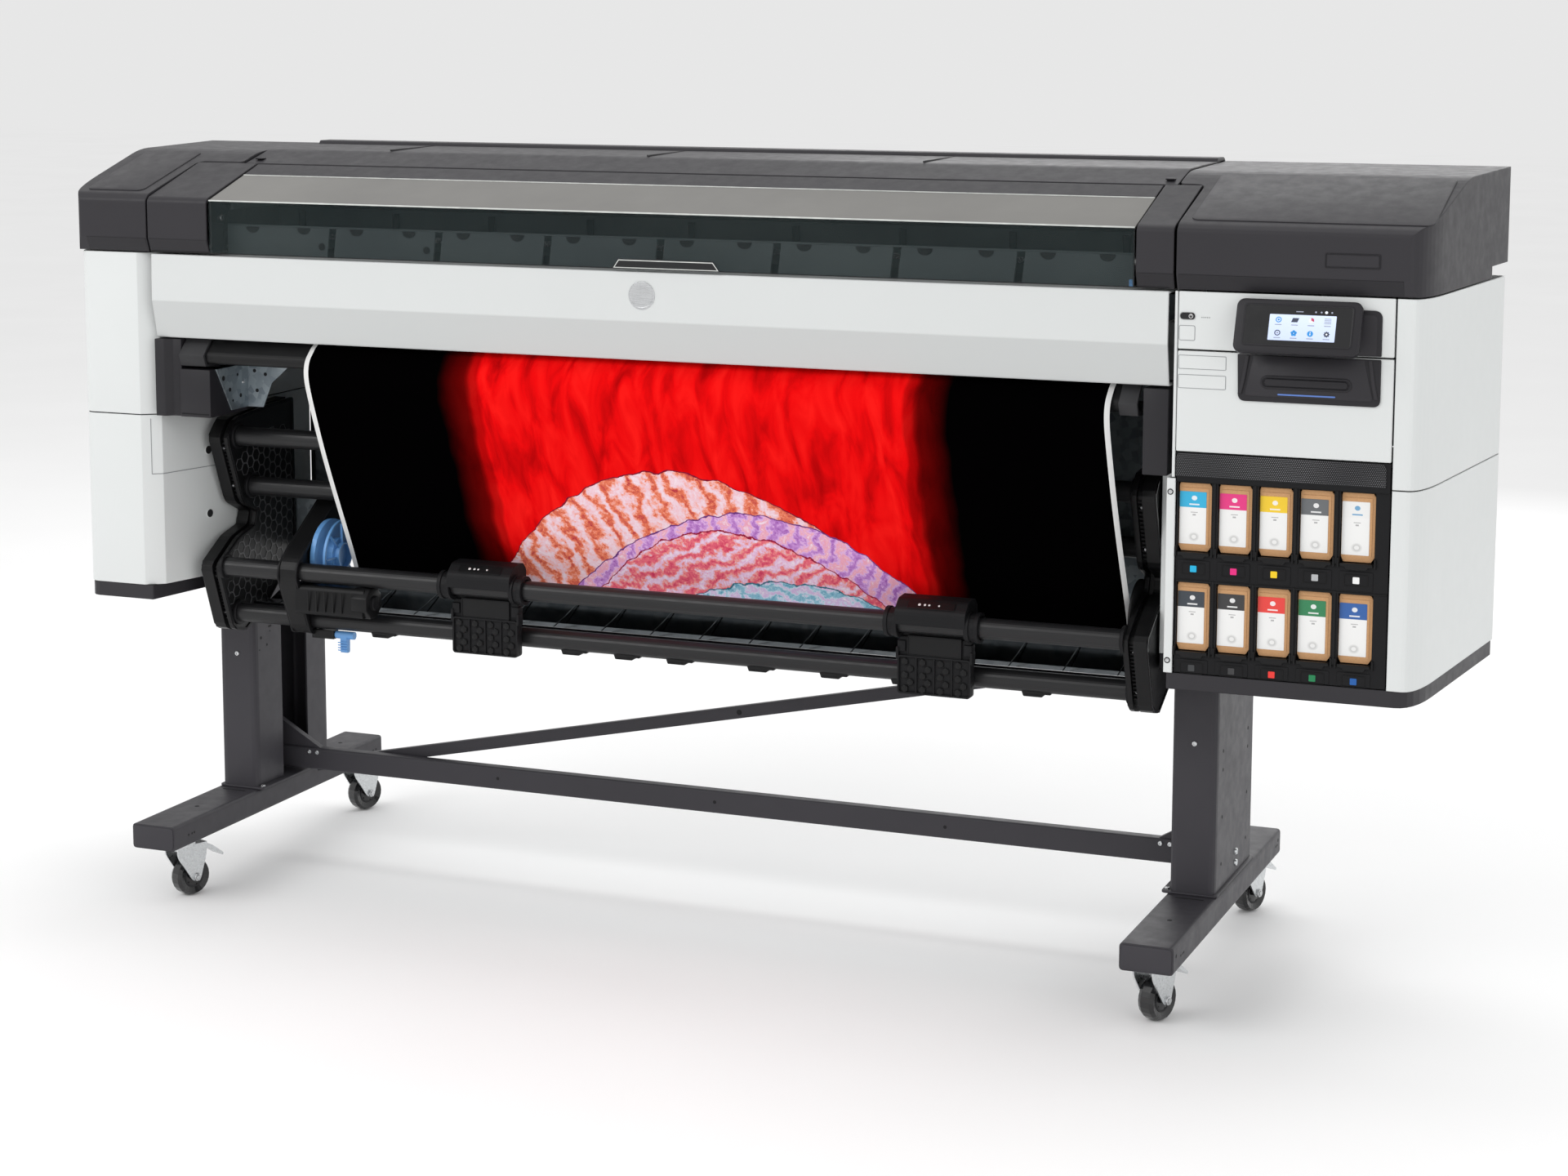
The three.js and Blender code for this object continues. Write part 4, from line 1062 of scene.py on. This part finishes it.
# ---- Top covers and front panel ----------------------------------------------------------------
def add_top_details():
    slope = math.degrees(math.atan2(1446 - 1375, 240))
    with piece("top_cover_panels", [CHARCOAL, CHARCOAL_DARK], "charcoal_cover") as bm:
        for x0, x1 in ((1014, 1410), (-1136, -1010)):
            half, middle = (x1 - x0) / 2, (x0 + x1) / 2
            lean = tilted((middle, -280, 1411.2), "X", slope)
            add_prism(bm, "z", rounded(-half, half, -112, 112, 14, 6), -1.5, 0.9, 0.8, 2, 0, lean)
        # Painted shade: a darker strip on the lower, down-sloping face along the cover fronts.
        shade_band_profile = [(-402.6, 1267.5), (-412.5, 1291.5), (-410, 1291.5), (-400.5, 1267.5)]
        for x0, x1 in ((-1122, -990), (-983, -856), (931, 992), (1001, 1368)):
            add_prism(bm, "x", shade_band_profile, x0, x1, 0, 1, 1)
        add_rim(bm, "y", rounded(1242, 1331, 1310, 1334, 2, 3), 0, 1.2, -413.0, -411.9, 1)
        add_prism(bm, "y", rounded(1244, 1329, 1312, 1332, 1.5, 3), -412.6, -411.9, 0, 1, 0)
        for x in (-620, -80, 460):
            add_box(bm, (x, x + 1.2), (-128, 54), (1449.2, 1452.6), 0, 1, 1)
        add_box(bm, (-884, 947), (57.4, 58.8), (1451.4, 1452.8), 0, 1, 1)
        for x in (-866, 930):
            add_box(bm, (x - 8, x + 8), (-204, -188), (1432.5, 1435.5), 1.5, 2, 1)
    with piece("front_badge", [BADGE, LINE_GREY], "zinc_steel") as bm:
        add_lathe(bm, "y", (34, -405, 1220), [(0.6, 0), (0.6, 25), (-0.8, 25.2), (-1.4, 24.4), (-1.4, 21.5),
                                              (-1.0, 21.0), (-1.0, 0)], 48)
    with piece("panel_gaps", [HOLE], "charcoal_cover") as bm:
        add_box(bm, (-983, 984), (-403.8, -400), (1266.2, 1267.8), 0)


SEAM_Z = 838                      # lowest edge of the hatch in the left cover


def add_left_covers():
    plan = [(-1018, -402), (-986, -378), (-966, -296), (-942, -200), (-942, 96), (-1150, 96), (-1167.7, 78)]
    corner, start, end = Vector((-1160, -402)), Vector((-1124, -402)), Vector((-1161.7, -298))
    plan += [tuple((1 - t) ** 2 * end + 2 * t * (1 - t) * corner + t * t * start)
             for t in (k / 10 for k in range(11))]
    for name, replaced, z0, z1 in (("left_lower_shell", "left_lower_cover", 623, 952),
                                   ("left_upper_shell", "left_upper_cover", 954, 1263)):
        with piece(name, WHITE, "white_cover", smooth=30) as bm:
            add_prism(bm, "z", plan, z0, z1, 1.6, 3)
        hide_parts(replaced)
    with piece("left_cover_joint", HOLE, "charcoal_cover") as bm:
        add_prism(bm, "z", inset_outline(counter_clockwise(plan), 2.5), 951, 955)
    with piece("left_cover_seam", [LINE_GREY], "white_cover") as bm:
        seam = [(-1003, -390.9), (-986, -378.2), (-966, -296), (-942, -200), (-942, -40)]
        for (ax, ay), (bx, by) in zip(seam, seam[1:]):
            run = Vector((bx - ax, by - ay)).normalized()
            out = (run.y, -run.x, 0)
            add_strip(bm, [(ax, ay, SEAM_Z), (bx, by, SEAM_Z)], (0, 0, 1), out, 1.4, 0.35)
        riser = [(-1003, -390.9, SEAM_Z), (-1003, -390.9, 945)]
        add_strip(bm, riser, (0.8, 0.6, 0), (0.6, -0.8, 0), 1.2, 0.35)
    with piece("left_cover_holes", [HOLE, WHITE], "white_cover") as bm:
        for z in (870, 745):
            facing = tilted((-957.6, -262.6, z), "Z", -14)
            add_prism(bm, "x", circle(0, 0, 8, 24), -0.5, 0.3, 0, 1, 0, facing)
            add_ring(bm, "x", (0, 0), 9.4, 8, -0.5, 0.9, 24, 0, 1, facing)


def add_shrouds():
    nose = [(-328, 1199.5), (-348, 1187), (-357, 1113), (-378, 1092), (-398, 1071), (-389, 1050),
            (-338, 1045.5), (-338, 1048), (-383, 1057.5), (-391, 1070), (-374, 1086), (-351, 1110),
            (-343, 1182), (-328, 1196.5)]
    with piece("nose_end_caps", GREY, "black_plastic", smooth=50) as bm:
        for x0, x1 in ((-932, -878), (900, 932)):
            add_prism(bm, "x", rounded_polygon(nose, 1.5, 2), x0, x1, 0.8, 2)
    with piece("side_shrouds", [CHARCOAL_DARK, BLACK_MATTE], "charcoal_cover") as bm:
        tall = [(-985, -398), (-964, -398), (-952, -386), (-934, -386), (-934, -262), (-960, -300),
                (-985, -376)]
        add_prism(bm, "z", tall, 953, 1100, 1.2, 2)
        add_box(bm, (-935, -868), (-392, -262), (953, 1044), 1.5, 2)
        add_box(bm, (-931, -872), (-393.2, -391.5), (958, 960), 0.4, 1, 1)
        add_box(bm, (941, 984), (-392, -262), (953, 1098), 1.5, 2)
    with piece("nose_brackets", [GALVANISED, HOLE, STEEL], "galvanised_steel") as bm:
        add_prism(bm, "x", [(-374, 1044), (-262, 1044), (-262, 960), (-322, 960)], -867.6, -864.6, 0.4, 1)
        gusset = [(-866, 1044), (-770, 1044), (-812, 1008), (-832, 960), (-866, 960)]
        add_prism(bm, "y", gusset, -262, -259, 0.4, 1)
        for y, z, r in ((-350, 1024, 5), (-328, 1000, 4), (-300, 1026, 3), (-290, 985, 4), (-318, 978, 2.5)):
            add_prism(bm, "x", circle(y, z, r, 16), -864.8, -864.3, 0, 1, 1)
        for x, z in ((-850, 1030), (-845, 992), (-826, 1024)):
            add_prism(bm, "y", circle(x, z, 3.6, 16), -262.3, -261.8, 0, 1, 1)
        add_screw(bm, (-864.8, -280, 1010), "+x", 4, 2, 2)


add_top_details()
add_left_covers()
add_shrouds()


# ---- Roll holder -------------------------------------------------------------------------------
BRACKET_OUTLINE = [
    (-45, 950), (-140, 946), (-258, 935), (-272, 924), (-290, 905), (-289, 890), (-244, 777), (-232, 762),
    (-190, 742), (-200, 716), (-252, 703), (-266, 696), (-322, 663), (-328, 645), (-287, 532), (-272, 520),
    (-238, 512), (-150, 556), (-45, 644),
]
TUBES = (UPPER_FRONT_TUBE, UPPER_REAR_TUBE, LOADER_RAIL, SUPPORT_RAIL)
HEX = 13.5


def add_bracket_details():
    looks = [BLACK_MATTE, GLOSS_BLACK, HEX_LINE, STEEL]
    plate = counter_clockwise(BRACKET_OUTLINE)
    field = inset_outline(plate, 12)
    for side, name in ((-1, "left"), (1, "right")):
        with piece("bracket_trim_" + name, looks, "black_plastic") as bm:
            inner, outer = side * 896.9, side * 938.1
            low, high = sorted((inner, side * 894.9))
            add_rim(bm, "x", plate, 1.5, 4.5, low, high, 0)
            low, high = sorted((outer, side * 939.6))
            add_rim(bm, "x", plate, 1.0, 5.0, low, high, 1)
            for y, z in TUBES:
                steps = [(0, 0), (0, 25), (5, 25), (6.5, 23.5), (6.5, 19), (7, 18.6), (7, 0)]
                add_lathe(bm, "x", (side * 897, y, z), [(-side * a, r) for a, r in steps], 32, 0)
            low, high = sorted((inner, side * 896.2))
            for column in range(24):
                for row in range(34):
                    y = -330 + column * HEX * 1.5
                    z = 515 + row * HEX * 1.732 + (column % 2) * HEX * 0.866
                    keep = inside((y, z), field) and z < 890 and not 740 < z < 745
                    if keep and all(math.hypot(y - ty, z - tz) > 38 for ty, tz in TUBES):
                        add_ring(bm, "x", (y, z), HEX - 0.4, HEX - 1.5, low, high, 6, 0, 2)
            for y, z in ((-276, 878), (-246, 800), (-311, 632), (-285, 557)):
                add_screw(bm, (side * 912, y + 2, z), "-y", 3.2, 6, 3)
            for k in range(15):
                t = k / 14
                for (y0, z0), (y1, z1) in (((-279, 888), (-236, 782)), ((-316, 644), (-281, 545))):
                    y, z = y0 + (y1 - y0) * t, z0 + (z1 - z0) * t
                    add_box(bm, sorted((side * 906, side * 913)), (y - 5, y + 4), (z - 1.1, z + 1.1), 0, 1, 0)


def add_arm_details():
    strap = [(-330, 628), (-338, 646), (-331, 670), (-302, 694), (-162, 785), (-140, 795), (-110, 784),
             (-104, 760), (-106, 746), (-210, 655), (-227, 628), (-227, 562), (-240, 528), (-256, 522),
             (-286, 528)]
    shape = rounded_polygon(strap, 8, 3)
    with piece("arm_rims", [BLACK_MATTE, STEEL, BLACK], "black_plastic", "arm") as bm:
        add_rim(bm, "x", shape, 0.5, 6, -726.2, -722.6, 0)
        add_rim(bm, "x", shape, 0.5, 6, -765.4, -761.8, 0)
        for y, z in ((-318, 640), (-258, 532)):
            add_screw(bm, (-726, y, z), "+x", 4.5, 4.5, 1)
        add_prism(bm, "x", circle(-305, 603.5, 32, 8, 22.5), -606, -572, 2.5, 2, 2)
        add_prism(bm, "x", circle(-305, 603.5, 14, 24), -573, -566, 1.5, 2, 0)
        for k in range(5):
            x = -700 + k * 18
            add_box(bm, (x, x + 3), (-335.6, -333.5), (584, 623), 0.6, 1, 2)
    with piece("hub_ribs", BLUE, "blue_plastic", "hub") as bm:
        y, z = ROLL_AXIS
        for k in range(8):
            turn = k * math.pi / 4
            direction = Vector((0, math.cos(turn), math.sin(turn)))
            path = [Vector((-693.8, y, z)) + direction * 24, Vector((-693.8, y, z)) + direction * 62]
            add_strip(bm, path, (0, -direction.z, direction.y), (1, 0, 0), 3, 5)
        add_ring(bm, "x", (y, z), 69.5, 65.5, -694.2, -689, 48)
        add_ring(bm, "x", (y, z), 26, 22.5, -694.2, -684, 32)
    with piece("right_hub", [BLACK, BLACK_MATTE], "black_plastic") as bm:
        y, z = ROLL_AXIS
        add_lathe(bm, "x", (896.8, y, z), [(0, 0), (0, 66), (-2, 69), (-5, 69), (-6, 66), (-4, 62), (-4, 30),
                                           (-8, 27), (-8, 0)], 48)
        for k in range(12):
            direction = Vector((0, math.cos(k * math.pi / 6), math.sin(k * math.pi / 6)))
            path = [Vector((893, y, z)) + direction * 31, Vector((893, y, z)) + direction * 61]
            add_strip(bm, path, (0, -direction.z, direction.y), (-1, 0, 0), 3, 2, 1)
    with piece("lever_grip", BLUE, "blue_plastic", "lever") as bm:
        for k in range(4):
            add_box(bm, (-671, -649), (-273.4, -272.0), (497 + 5 * k, 499 + 5 * k), 0.4)


def add_loading_aid(name, centre, body):
    lean = tilted((centre, -323, 687.6), "X", math.degrees(math.atan2(18, 22)))
    with piece(name, [BLACK_MATTE, BLACK, LIGHT_MARK], "black_plastic", body) as bm:
        for side in (-1, 1):
            for near, far, radius in ((62, 70, 27.5), (80, 87, 27)):
                ends = sorted((centre + side * near, centre + side * far))
                add_ring(bm, "x", (-308, 652), radius, 21, *ends, 28, 0, 0)
            add_box(bm, sorted((centre + side * 54, centre + side * 69)), (-306, -286), (598, 618), 1.5, 2)
            add_box(bm, sorted((centre + side * 66, centre + side * 71)), (-309, -290), (584, 606), 1.2, 2)
        add_prism(bm, "z", rounded(-44, 44, -9, 9, 2, 3), -0.4, 0.6, 0.3, 1, 1, lean)
        for x, radius in ((-22, 2.6), (-12, 2.2), (-4, 2.0), (14, 1.8)):
            add_prism(bm, "z", circle(x, 0, radius, 16), 0.4, 1.0, 0, 1, 2, lean)
        add_prism(bm, "y", rounded(centre - 50, centre + 50, 592, 628, 2, 3), -304.5, -301, 0.6, 1, 1)
        add_rim(bm, "y", rounded(centre - 50, centre + 50, 592, 628, 2, 3), 0, 2, -306, -302, 0)
        flap = rounded(centre - 68, centre + 68, 523, 592, 6, 4)
        add_prism(bm, "y", flap, -305, -288, 1.2, 2, 0)
        add_rim(bm, "y", flap, 0, 3, -308.5, -304.8, 0)
        for x in (-33, 0, 33):
            add_box(bm, (centre + x - 1.4, centre + x + 1.4), (-308, -304.8), (525, 591), 0.4)
        for column in range(4):
            for row in range(5):
                x = centre - 49.5 + 33 * column
                z = 532 + 12.2 * row
                sway = 5 if row % 2 else -5
                add_prism(bm, "y", circle(x + sway, z, 7.2, 6, 30), -308.6, -304.8, 1.4, 2, 1)


def add_rail_clips():
    with piece("rail_clips", [BLACK, BLACK_MATTE], "black_plastic") as bm:
        for x in (-575, -172, -64, 42, 203, 344, 480, 723):
            shape = [(x - 24, 540), (x - 20, 529), (x + 14, 529), (x + 19, 534), (x + 30, 534), (x + 30, 540)]
            add_prism(bm, "y", rounded_polygon(shape, 1.5, 2), -272, -240, 0.8, 2)
            add_box(bm, (x - 16, x + 10), (-273, -239), (531, 534), 0.5, 1, 1)
    with piece("tray_ribs", [BLACK, GLOSS_BLACK], "black_plastic") as bm:
        for k in range(18):
            x = -850 + k * 100
            path = [(x, -212, 556), (x, -136, 572), (x, -62, 591)]
            add_strip(bm, path, (1, 0, 0), (0, -0.2, 0.98), 2.0, 1.4, 1)


HEX_LINE = moulded("honeycomb_edge", (0.10, 0.10, 0.105), 0.30, 0.05, 0.10)
add_bracket_details()
add_arm_details()
add_loading_aid("loading_aid_trim_left", -335, "loader_left")
add_loading_aid("loading_aid_trim_right", 550, "loader_right")
add_rail_clips()


# ---- Stand and casters -------------------------------------------------------------------------
FOOT_X, FOOT_HALF, FOOT_TOP = 980.5, 47, 164
POST_OUTER, POST_INNER, POST_FRONT = 1020, 938, -142


def add_hole(bm, axis, a, b, radius, level, facing, material=0):
    low, high = sorted((level - facing * 0.6, level + facing * 0.25))
    add_prism(bm, axis, circle(a, b, radius, 14), low, high, 0, 1, material)


def add_slot(bm, axis, a0, a1, b0, b1, level, facing, material=0):
    low, high = sorted((level - facing * 0.6, level + facing * 0.25))
    add_prism(bm, axis, rounded(a0, a1, b0, b1, min(a1 - a0, b1 - b0) / 2.05, 4), low, high, 0, 1, material)


def add_stand_details():
    with piece("stand_holes", HOLE, "stand_paint") as bm:
        for side in (-1, 1):
            for y, z, r in ((-118, 470, 3.5), (-96, 452, 2.6), (-124, 446, 1.8), (-84, 478, 1.6),
                            (-104, 500, 2.2)):
                add_hole(bm, "x", y, z, r, side * POST_INNER, -side)
            add_slot(bm, "x", -99, -94, 500, 516, side * POST_INNER, -side)
            add_slot(bm, "x", -90, -78, 486, 490, side * POST_INNER, -side)
            for z in (214, 300, 386, 420):
                add_hole(bm, "x", -96, z, 3.2, side * POST_OUTER, side)
                add_hole(bm, "x", 92, z, 3.2, side * POST_OUTER, side)
            for y in (-404, -392, -384, 318, 330):
                add_hole(bm, "x", y, 138, 2.4, side * (FOOT_X + FOOT_HALF), side)
                add_hole(bm, "x", y, 138, 2.4, side * (FOOT_X - FOOT_HALF), -side)
            for y in (-436, 336):
                add_hole(bm, "x", y, 146, 3.4, side * (FOOT_X + FOOT_HALF), side)
            for y in (-166, 150):
                add_slot(bm, "z", side * FOOT_X - 26, side * FOOT_X + 26, y, y + 5, FOOT_TOP, 1)
            for y in (-300, 260):
                add_hole(bm, "z", side * FOOT_X, y, 4.5, FOOT_TOP, 1)
        for x in (-470, 0, 470):
            add_hole(bm, "y", x, 198.5, 3.5, 0, -1)
        add_hole(bm, "y", 40, 166 + (940 / 1910) * 398 + 12, 5.5, 28, -1)
    with piece("stand_screws", [STEEL, ZINC], "zinc_steel") as bm:
        add_screw(bm, (979, POST_FRONT, 440), "-y", 5, 2.6)
        add_screw(bm, (-979, POST_FRONT, 440), "-y", 5, 2.6)
        for side in (-1, 1):
            facing = "+x" if side > 0 else "-x"
            for z in (188, 209):
                add_screw(bm, (side * POST_OUTER, 13, z), facing, 6.5, 4, 1)
            for y in (-120, 118):
                add_screw(bm, (side * FOOT_X, y, FOOT_TOP), "+z", 6, 3.4, 1)
            for x in (884, 902):
                add_screw(bm, (side * x, 0, 212), "-y", 4.5, 2.4, 1)
    with piece("foot_end_caps", STAND, "stand_paint") as bm:
        for side in (-1, 1):
            x0, x1 = side * FOOT_X - 44, side * FOOT_X + 44
            for low, high in ((-454.5, -452.5), (353.5, 355.5)):
                add_prism(bm, "y", rounded(x0, x1, 119, 161, 6, 5), low, high, 0.8, 2)
    with piece("post_plates", [STAND, STEEL], "stand_paint") as bm:
        for side in (-1, 1):
            x0, x1 = sorted((side * (POST_INNER - 14), side * (POST_OUTER + 5)))
            add_prism(bm, "z", rounded(x0, x1, -146, 144, 8, 4), 164.2, 168.5, 1, 2)
            for y in (-132, 130):
                nut = [(0, 0), (0, 5), (3, 5), (3.5, 4), (3.5, 0)]
                add_lathe(bm, "z", (side * (POST_INNER - 6), y, 168.5), nut, 6, 1)


HEADING = 20
WHEEL_HALF = 14
SPOKE_TURN = 1.2566               # a fifth of a turn, in radians


def add_caster_details():
    turn = Matrix.Rotation(math.radians(-HEADING), 4, "Z")
    for end, side in ((end, side) for end in ("front", "rear") for side in ("left", "right")):
        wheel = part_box(f"caster_wheel_{end}_{side}")
        centre = (wheel[0] + wheel[1]) / 2
        hub = Matrix.Translation(centre) @ turn @ Matrix.Translation(-SHIFT)
        half = WHEEL_HALF - 1
        with piece(f"caster_hub_{end}_{side}", [GREY, BLACK], "wheel_tread", f"wheel_{end}_{side}") as bm:
            for sign in (-1, 1):
                ends = sorted((sign * (half - 3.5), sign * (half - 0.2)))
                add_ring(bm, "x", (0, 0), 22, 18.5, *ends, 32, 0, 0, hub)
                for k in range(5):
                    out = Vector((math.cos(k * SPOKE_TURN), math.sin(k * SPOKE_TURN)))
                    across = Vector((-out.y, out.x)) * 2
                    blade = [out * 9 + across, out * 9 - across, out * 19.5 - across, out * 19.5 + across]
                    add_prism(bm, "x", [tuple(p) for p in blade], *ends, 0.3, 1, 1, hub)
        with piece(f"caster_bolts_{end}_{side}", [STEEL, GREY], "zinc_steel", f"fork_{end}_{side}") as bm:
            for sign in (-1, 1):
                ends = sorted((sign * 21.0, sign * 25.5))
                add_prism(bm, "x", circle(0, 0, 8.5, 6), *ends, 0.8, 2, 0, hub)
                ends = sorted((sign * 25.2, sign * 27.5))
                add_prism(bm, "x", circle(0, 0, 4.6, 16), *ends, 0.5, 1, 0, hub)


add_stand_details()
add_caster_details()


# ---- Rear and flanks ---------------------------------------------------------------------------
REAR_WALL, HOUSING_REAR = 128, 96


def add_louvres(bm, x0, x1, z0, z1, rows, level, material=0):
    """Horizontal slots with a small hood over each, on a wall facing the rear."""
    step = (z1 - z0) / rows
    for k in range(rows):
        z = z0 + k * step
        slot = rounded(x0, x1, z, z + step * 0.42, step * 0.2, 3)
        add_prism(bm, "y", slot, level - 0.4, level + 0.3, 0, 1, 1)
        hood = [(level, z + step * 0.42), (level + 3, z + step * 0.44), (level, z + step * 0.72)]
        add_prism(bm, "x", hood, x0 + 1, x1 - 1, 0.3, 1, material)


def add_rear_details():
    with piece("rear_wall_trim", [CHARCOAL, HOLE, CHARCOAL_DARK], "charcoal_cover") as bm:
        for x0, x1 in ((-925, -320), (-310, 310), (320, 925)):
            add_rim(bm, "y", rounded(x0, x1, 716, 1246, 10, 4), 0, 3, REAR_WALL - 0.5, REAR_WALL + 1.6)
        for x0, x1 in ((-240, -20), (20, 240)):
            add_louvres(bm, x0, x1, 900, 1080, 12, REAR_WALL)
        for x0, x1 in ((-820, -500), (500, 820)):
            add_louvres(bm, x0, x1, 1120, 1200, 6, REAR_WALL)
        add_prism(bm, "y", rounded(-880, -420, 760, 980, 8, 4), REAR_WALL - 0.5, REAR_WALL + 2.2, 1, 2, 2)
        for x in (-140, 140):
            add_box(bm, (x - 50, x + 50), (REAR_WALL - 0.5, REAR_WALL + 9), (742, 760), 3, 3, 2)
    with piece("rear_corner_strips", CHARCOAL, "charcoal_cover") as bm:
        for side in (-1, 1):
            add_box(bm, sorted((side * 938.6, side * 941.4)), (97, 127.5), (702, 1259), 0.4)
    with piece("rear_wall_screws", STEEL, "zinc_steel") as bm:
        for x in (-915, -622, -330, -300, 0, 300, 330, 622, 915):
            for z in (728, 1234):
                add_screw(bm, (x, REAR_WALL, z), "+y", 4, 2.2)
        for x, z in ((-870, 770), (-430, 770), (-870, 970), (-430, 970)):
            add_screw(bm, (x, REAR_WALL + 2.2, z), "+y", 3.5, 2)
    with piece("side_vents", [WHITE, HOLE], "white_cover") as bm:
        add_louvres(bm, 1060, 1340, 1060, 1190, 9, HOUSING_REAR)
        add_louvres(bm, 1060, 1340, 720, 790, 5, HOUSING_REAR)
        add_louvres(bm, -1120, -990, 1090, 1190, 7, HOUSING_REAR)
    with piece("connector_bay", [CHARCOAL_DARK, BLACK, HOLE, STEEL, BADGE], "charcoal_cover") as bm:
        rear = HOUSING_REAR
        add_prism(bm, "y", rounded(970, 1420, 840, 935, 6, 4), rear - 0.5, rear + 2.4, 1, 2)
        add_rim(bm, "y", rounded(990, 1052, 860, 912, 4, 3), 0, 4, rear + 2, rear + 6, 1)
        inlet = [(998, 868), (1044, 868), (1044, 896), (1037, 904), (1005, 904), (998, 896)]
        add_prism(bm, "y", rounded_polygon(inlet, 2, 2), rear + 2, rear + 2.8, 0, 1, 2)
        for x in (1011, 1021, 1031):
            add_box(bm, (x - 1.2, x + 1.2), (rear + 2.6, rear + 5.5), (879, 891), 0.3, 1, 3)
        add_rim(bm, "y", rounded(1068, 1092, 866, 906, 3, 3), 0, 2.4, rear + 2, rear + 5, 1)
        rocker = [(rear + 2.2, 870), (rear + 6, 871), (rear + 3.6, 887), (rear + 2.2, 902)]
        add_prism(bm, "x", rocker, 1071, 1089, 0.6, 2, 1)
        for x in (1140, 1166):
            add_rim(bm, "y", rounded(x - 9, x + 9, 878, 896, 1.5, 2), 0, 1.8, rear + 2, rear + 4, 4)
            add_prism(bm, "y", rounded(x - 7, x + 7, 880, 894, 1, 2), rear + 2, rear + 2.8, 0, 1, 2)
        for x in (1206, 1232):
            add_rim(bm, "y", rounded(x - 8, x + 8, 882, 892, 1, 2), 0, 1.2, rear + 2, rear + 3.6, 4)
            add_prism(bm, "y", rounded(x - 6, x + 6, 884, 890, 0.6, 2), rear + 2, rear + 2.8, 0, 1, 2)
        for x, z in ((978, 848), (1412, 848), (978, 927), (1412, 927)):
            add_screw(bm, (x, rear + 2.4, z), "+y", 3.6, 2, 3)
    with piece("underside_screws", STEEL, "zinc_steel") as bm:
        for x in (1120, 1340):
            for z in (648, 1245):
                add_screw(bm, (x, HOUSING_REAR, z), "+y", 3.6, 2)


add_rear_details()


# ---- Camera, light and floor -------------------------------------------------------------------
CAMERA = {"location": (2.0973, -5.2453, 1.7323), "yaw": 22.518, "pitch": 8.043, "lens": 69.70,
          "shift": (0.0267, -0.10)}


def add_camera():
    data = bpy.data.cameras.new("camera")
    data.lens = CAMERA["lens"]
    data.sensor_width = 36
    data.shift_x, data.shift_y = CAMERA["shift"]
    data.clip_end = 60
    camera = bpy.data.objects.new("camera", data)
    camera.location = CAMERA["location"]
    camera.rotation_euler = (math.radians(90 - CAMERA["pitch"]), 0, math.radians(CAMERA["yaw"]))
    bpy.context.scene.collection.objects.link(camera)
    bpy.context.scene.camera = camera


def add_light(name, location, target, size, power, color=(1, 1, 1)):
    data = bpy.data.lights.new(name, "AREA")
    data.shape = "RECTANGLE"
    data.size, data.size_y = size
    data.energy = power
    data.color = color
    light = bpy.data.objects.new(name, data)
    light.location = location
    light.rotation_euler = (Vector(target) - Vector(location)).to_track_quat("-Z", "Y").to_euler()
    bpy.context.scene.collection.objects.link(light)


def add_studio():
    world = bpy.data.worlds.new("studio")
    world.use_nodes = True
    background = world.node_tree.nodes["Background"]
    background.inputs["Color"].default_value = (1, 1, 1, 1)
    background.inputs["Strength"].default_value = 0.80
    bpy.context.scene.world = world
    add_light("key", (-3.2, -4.6, 4.4), (0, 0, 0.9), (4.0, 3.0), 120)
    add_light("fill", (4.6, -3.4, 2.6), (0.4, 0, 0.9), (2.6, 3.4), 26)
    add_light("top", (0.0, 0.9, 4.8), (0, 0, 1.2), (5.0, 2.2), 45)
    add_light("rear", (0.5, 5.0, 2.6), (0, 0, 1.0), (5.0, 2.6), 50)
    bpy.context.scene.view_settings.view_transform = "Standard"


def add_floor():
    n = Nodes("studio_floor")
    n.wire(Base_Color=n.mix(n.spread(n.noise(1.2, 2), 0, 1), (0.96, 0.96, 0.96), (0.98, 0.98, 0.98)))
    n.set(Roughness=0.95, Specular_IOR_Level=0.0, Emission_Color=(1, 1, 1, 1), Emission_Strength=0.02)
    bm = bmesh.new()
    bmesh.ops.create_grid(bm, x_segments=2, y_segments=2, size=30)
    mesh = bpy.data.meshes.new("floor")
    bm.to_mesh(mesh)
    bm.free()
    mesh.materials.append(n.material)
    floor = bpy.data.objects.new("floor", mesh)
    floor.location.z = -0.0005
    bpy.context.scene.collection.objects.link(floor)


add_camera()
add_studio()
add_floor()
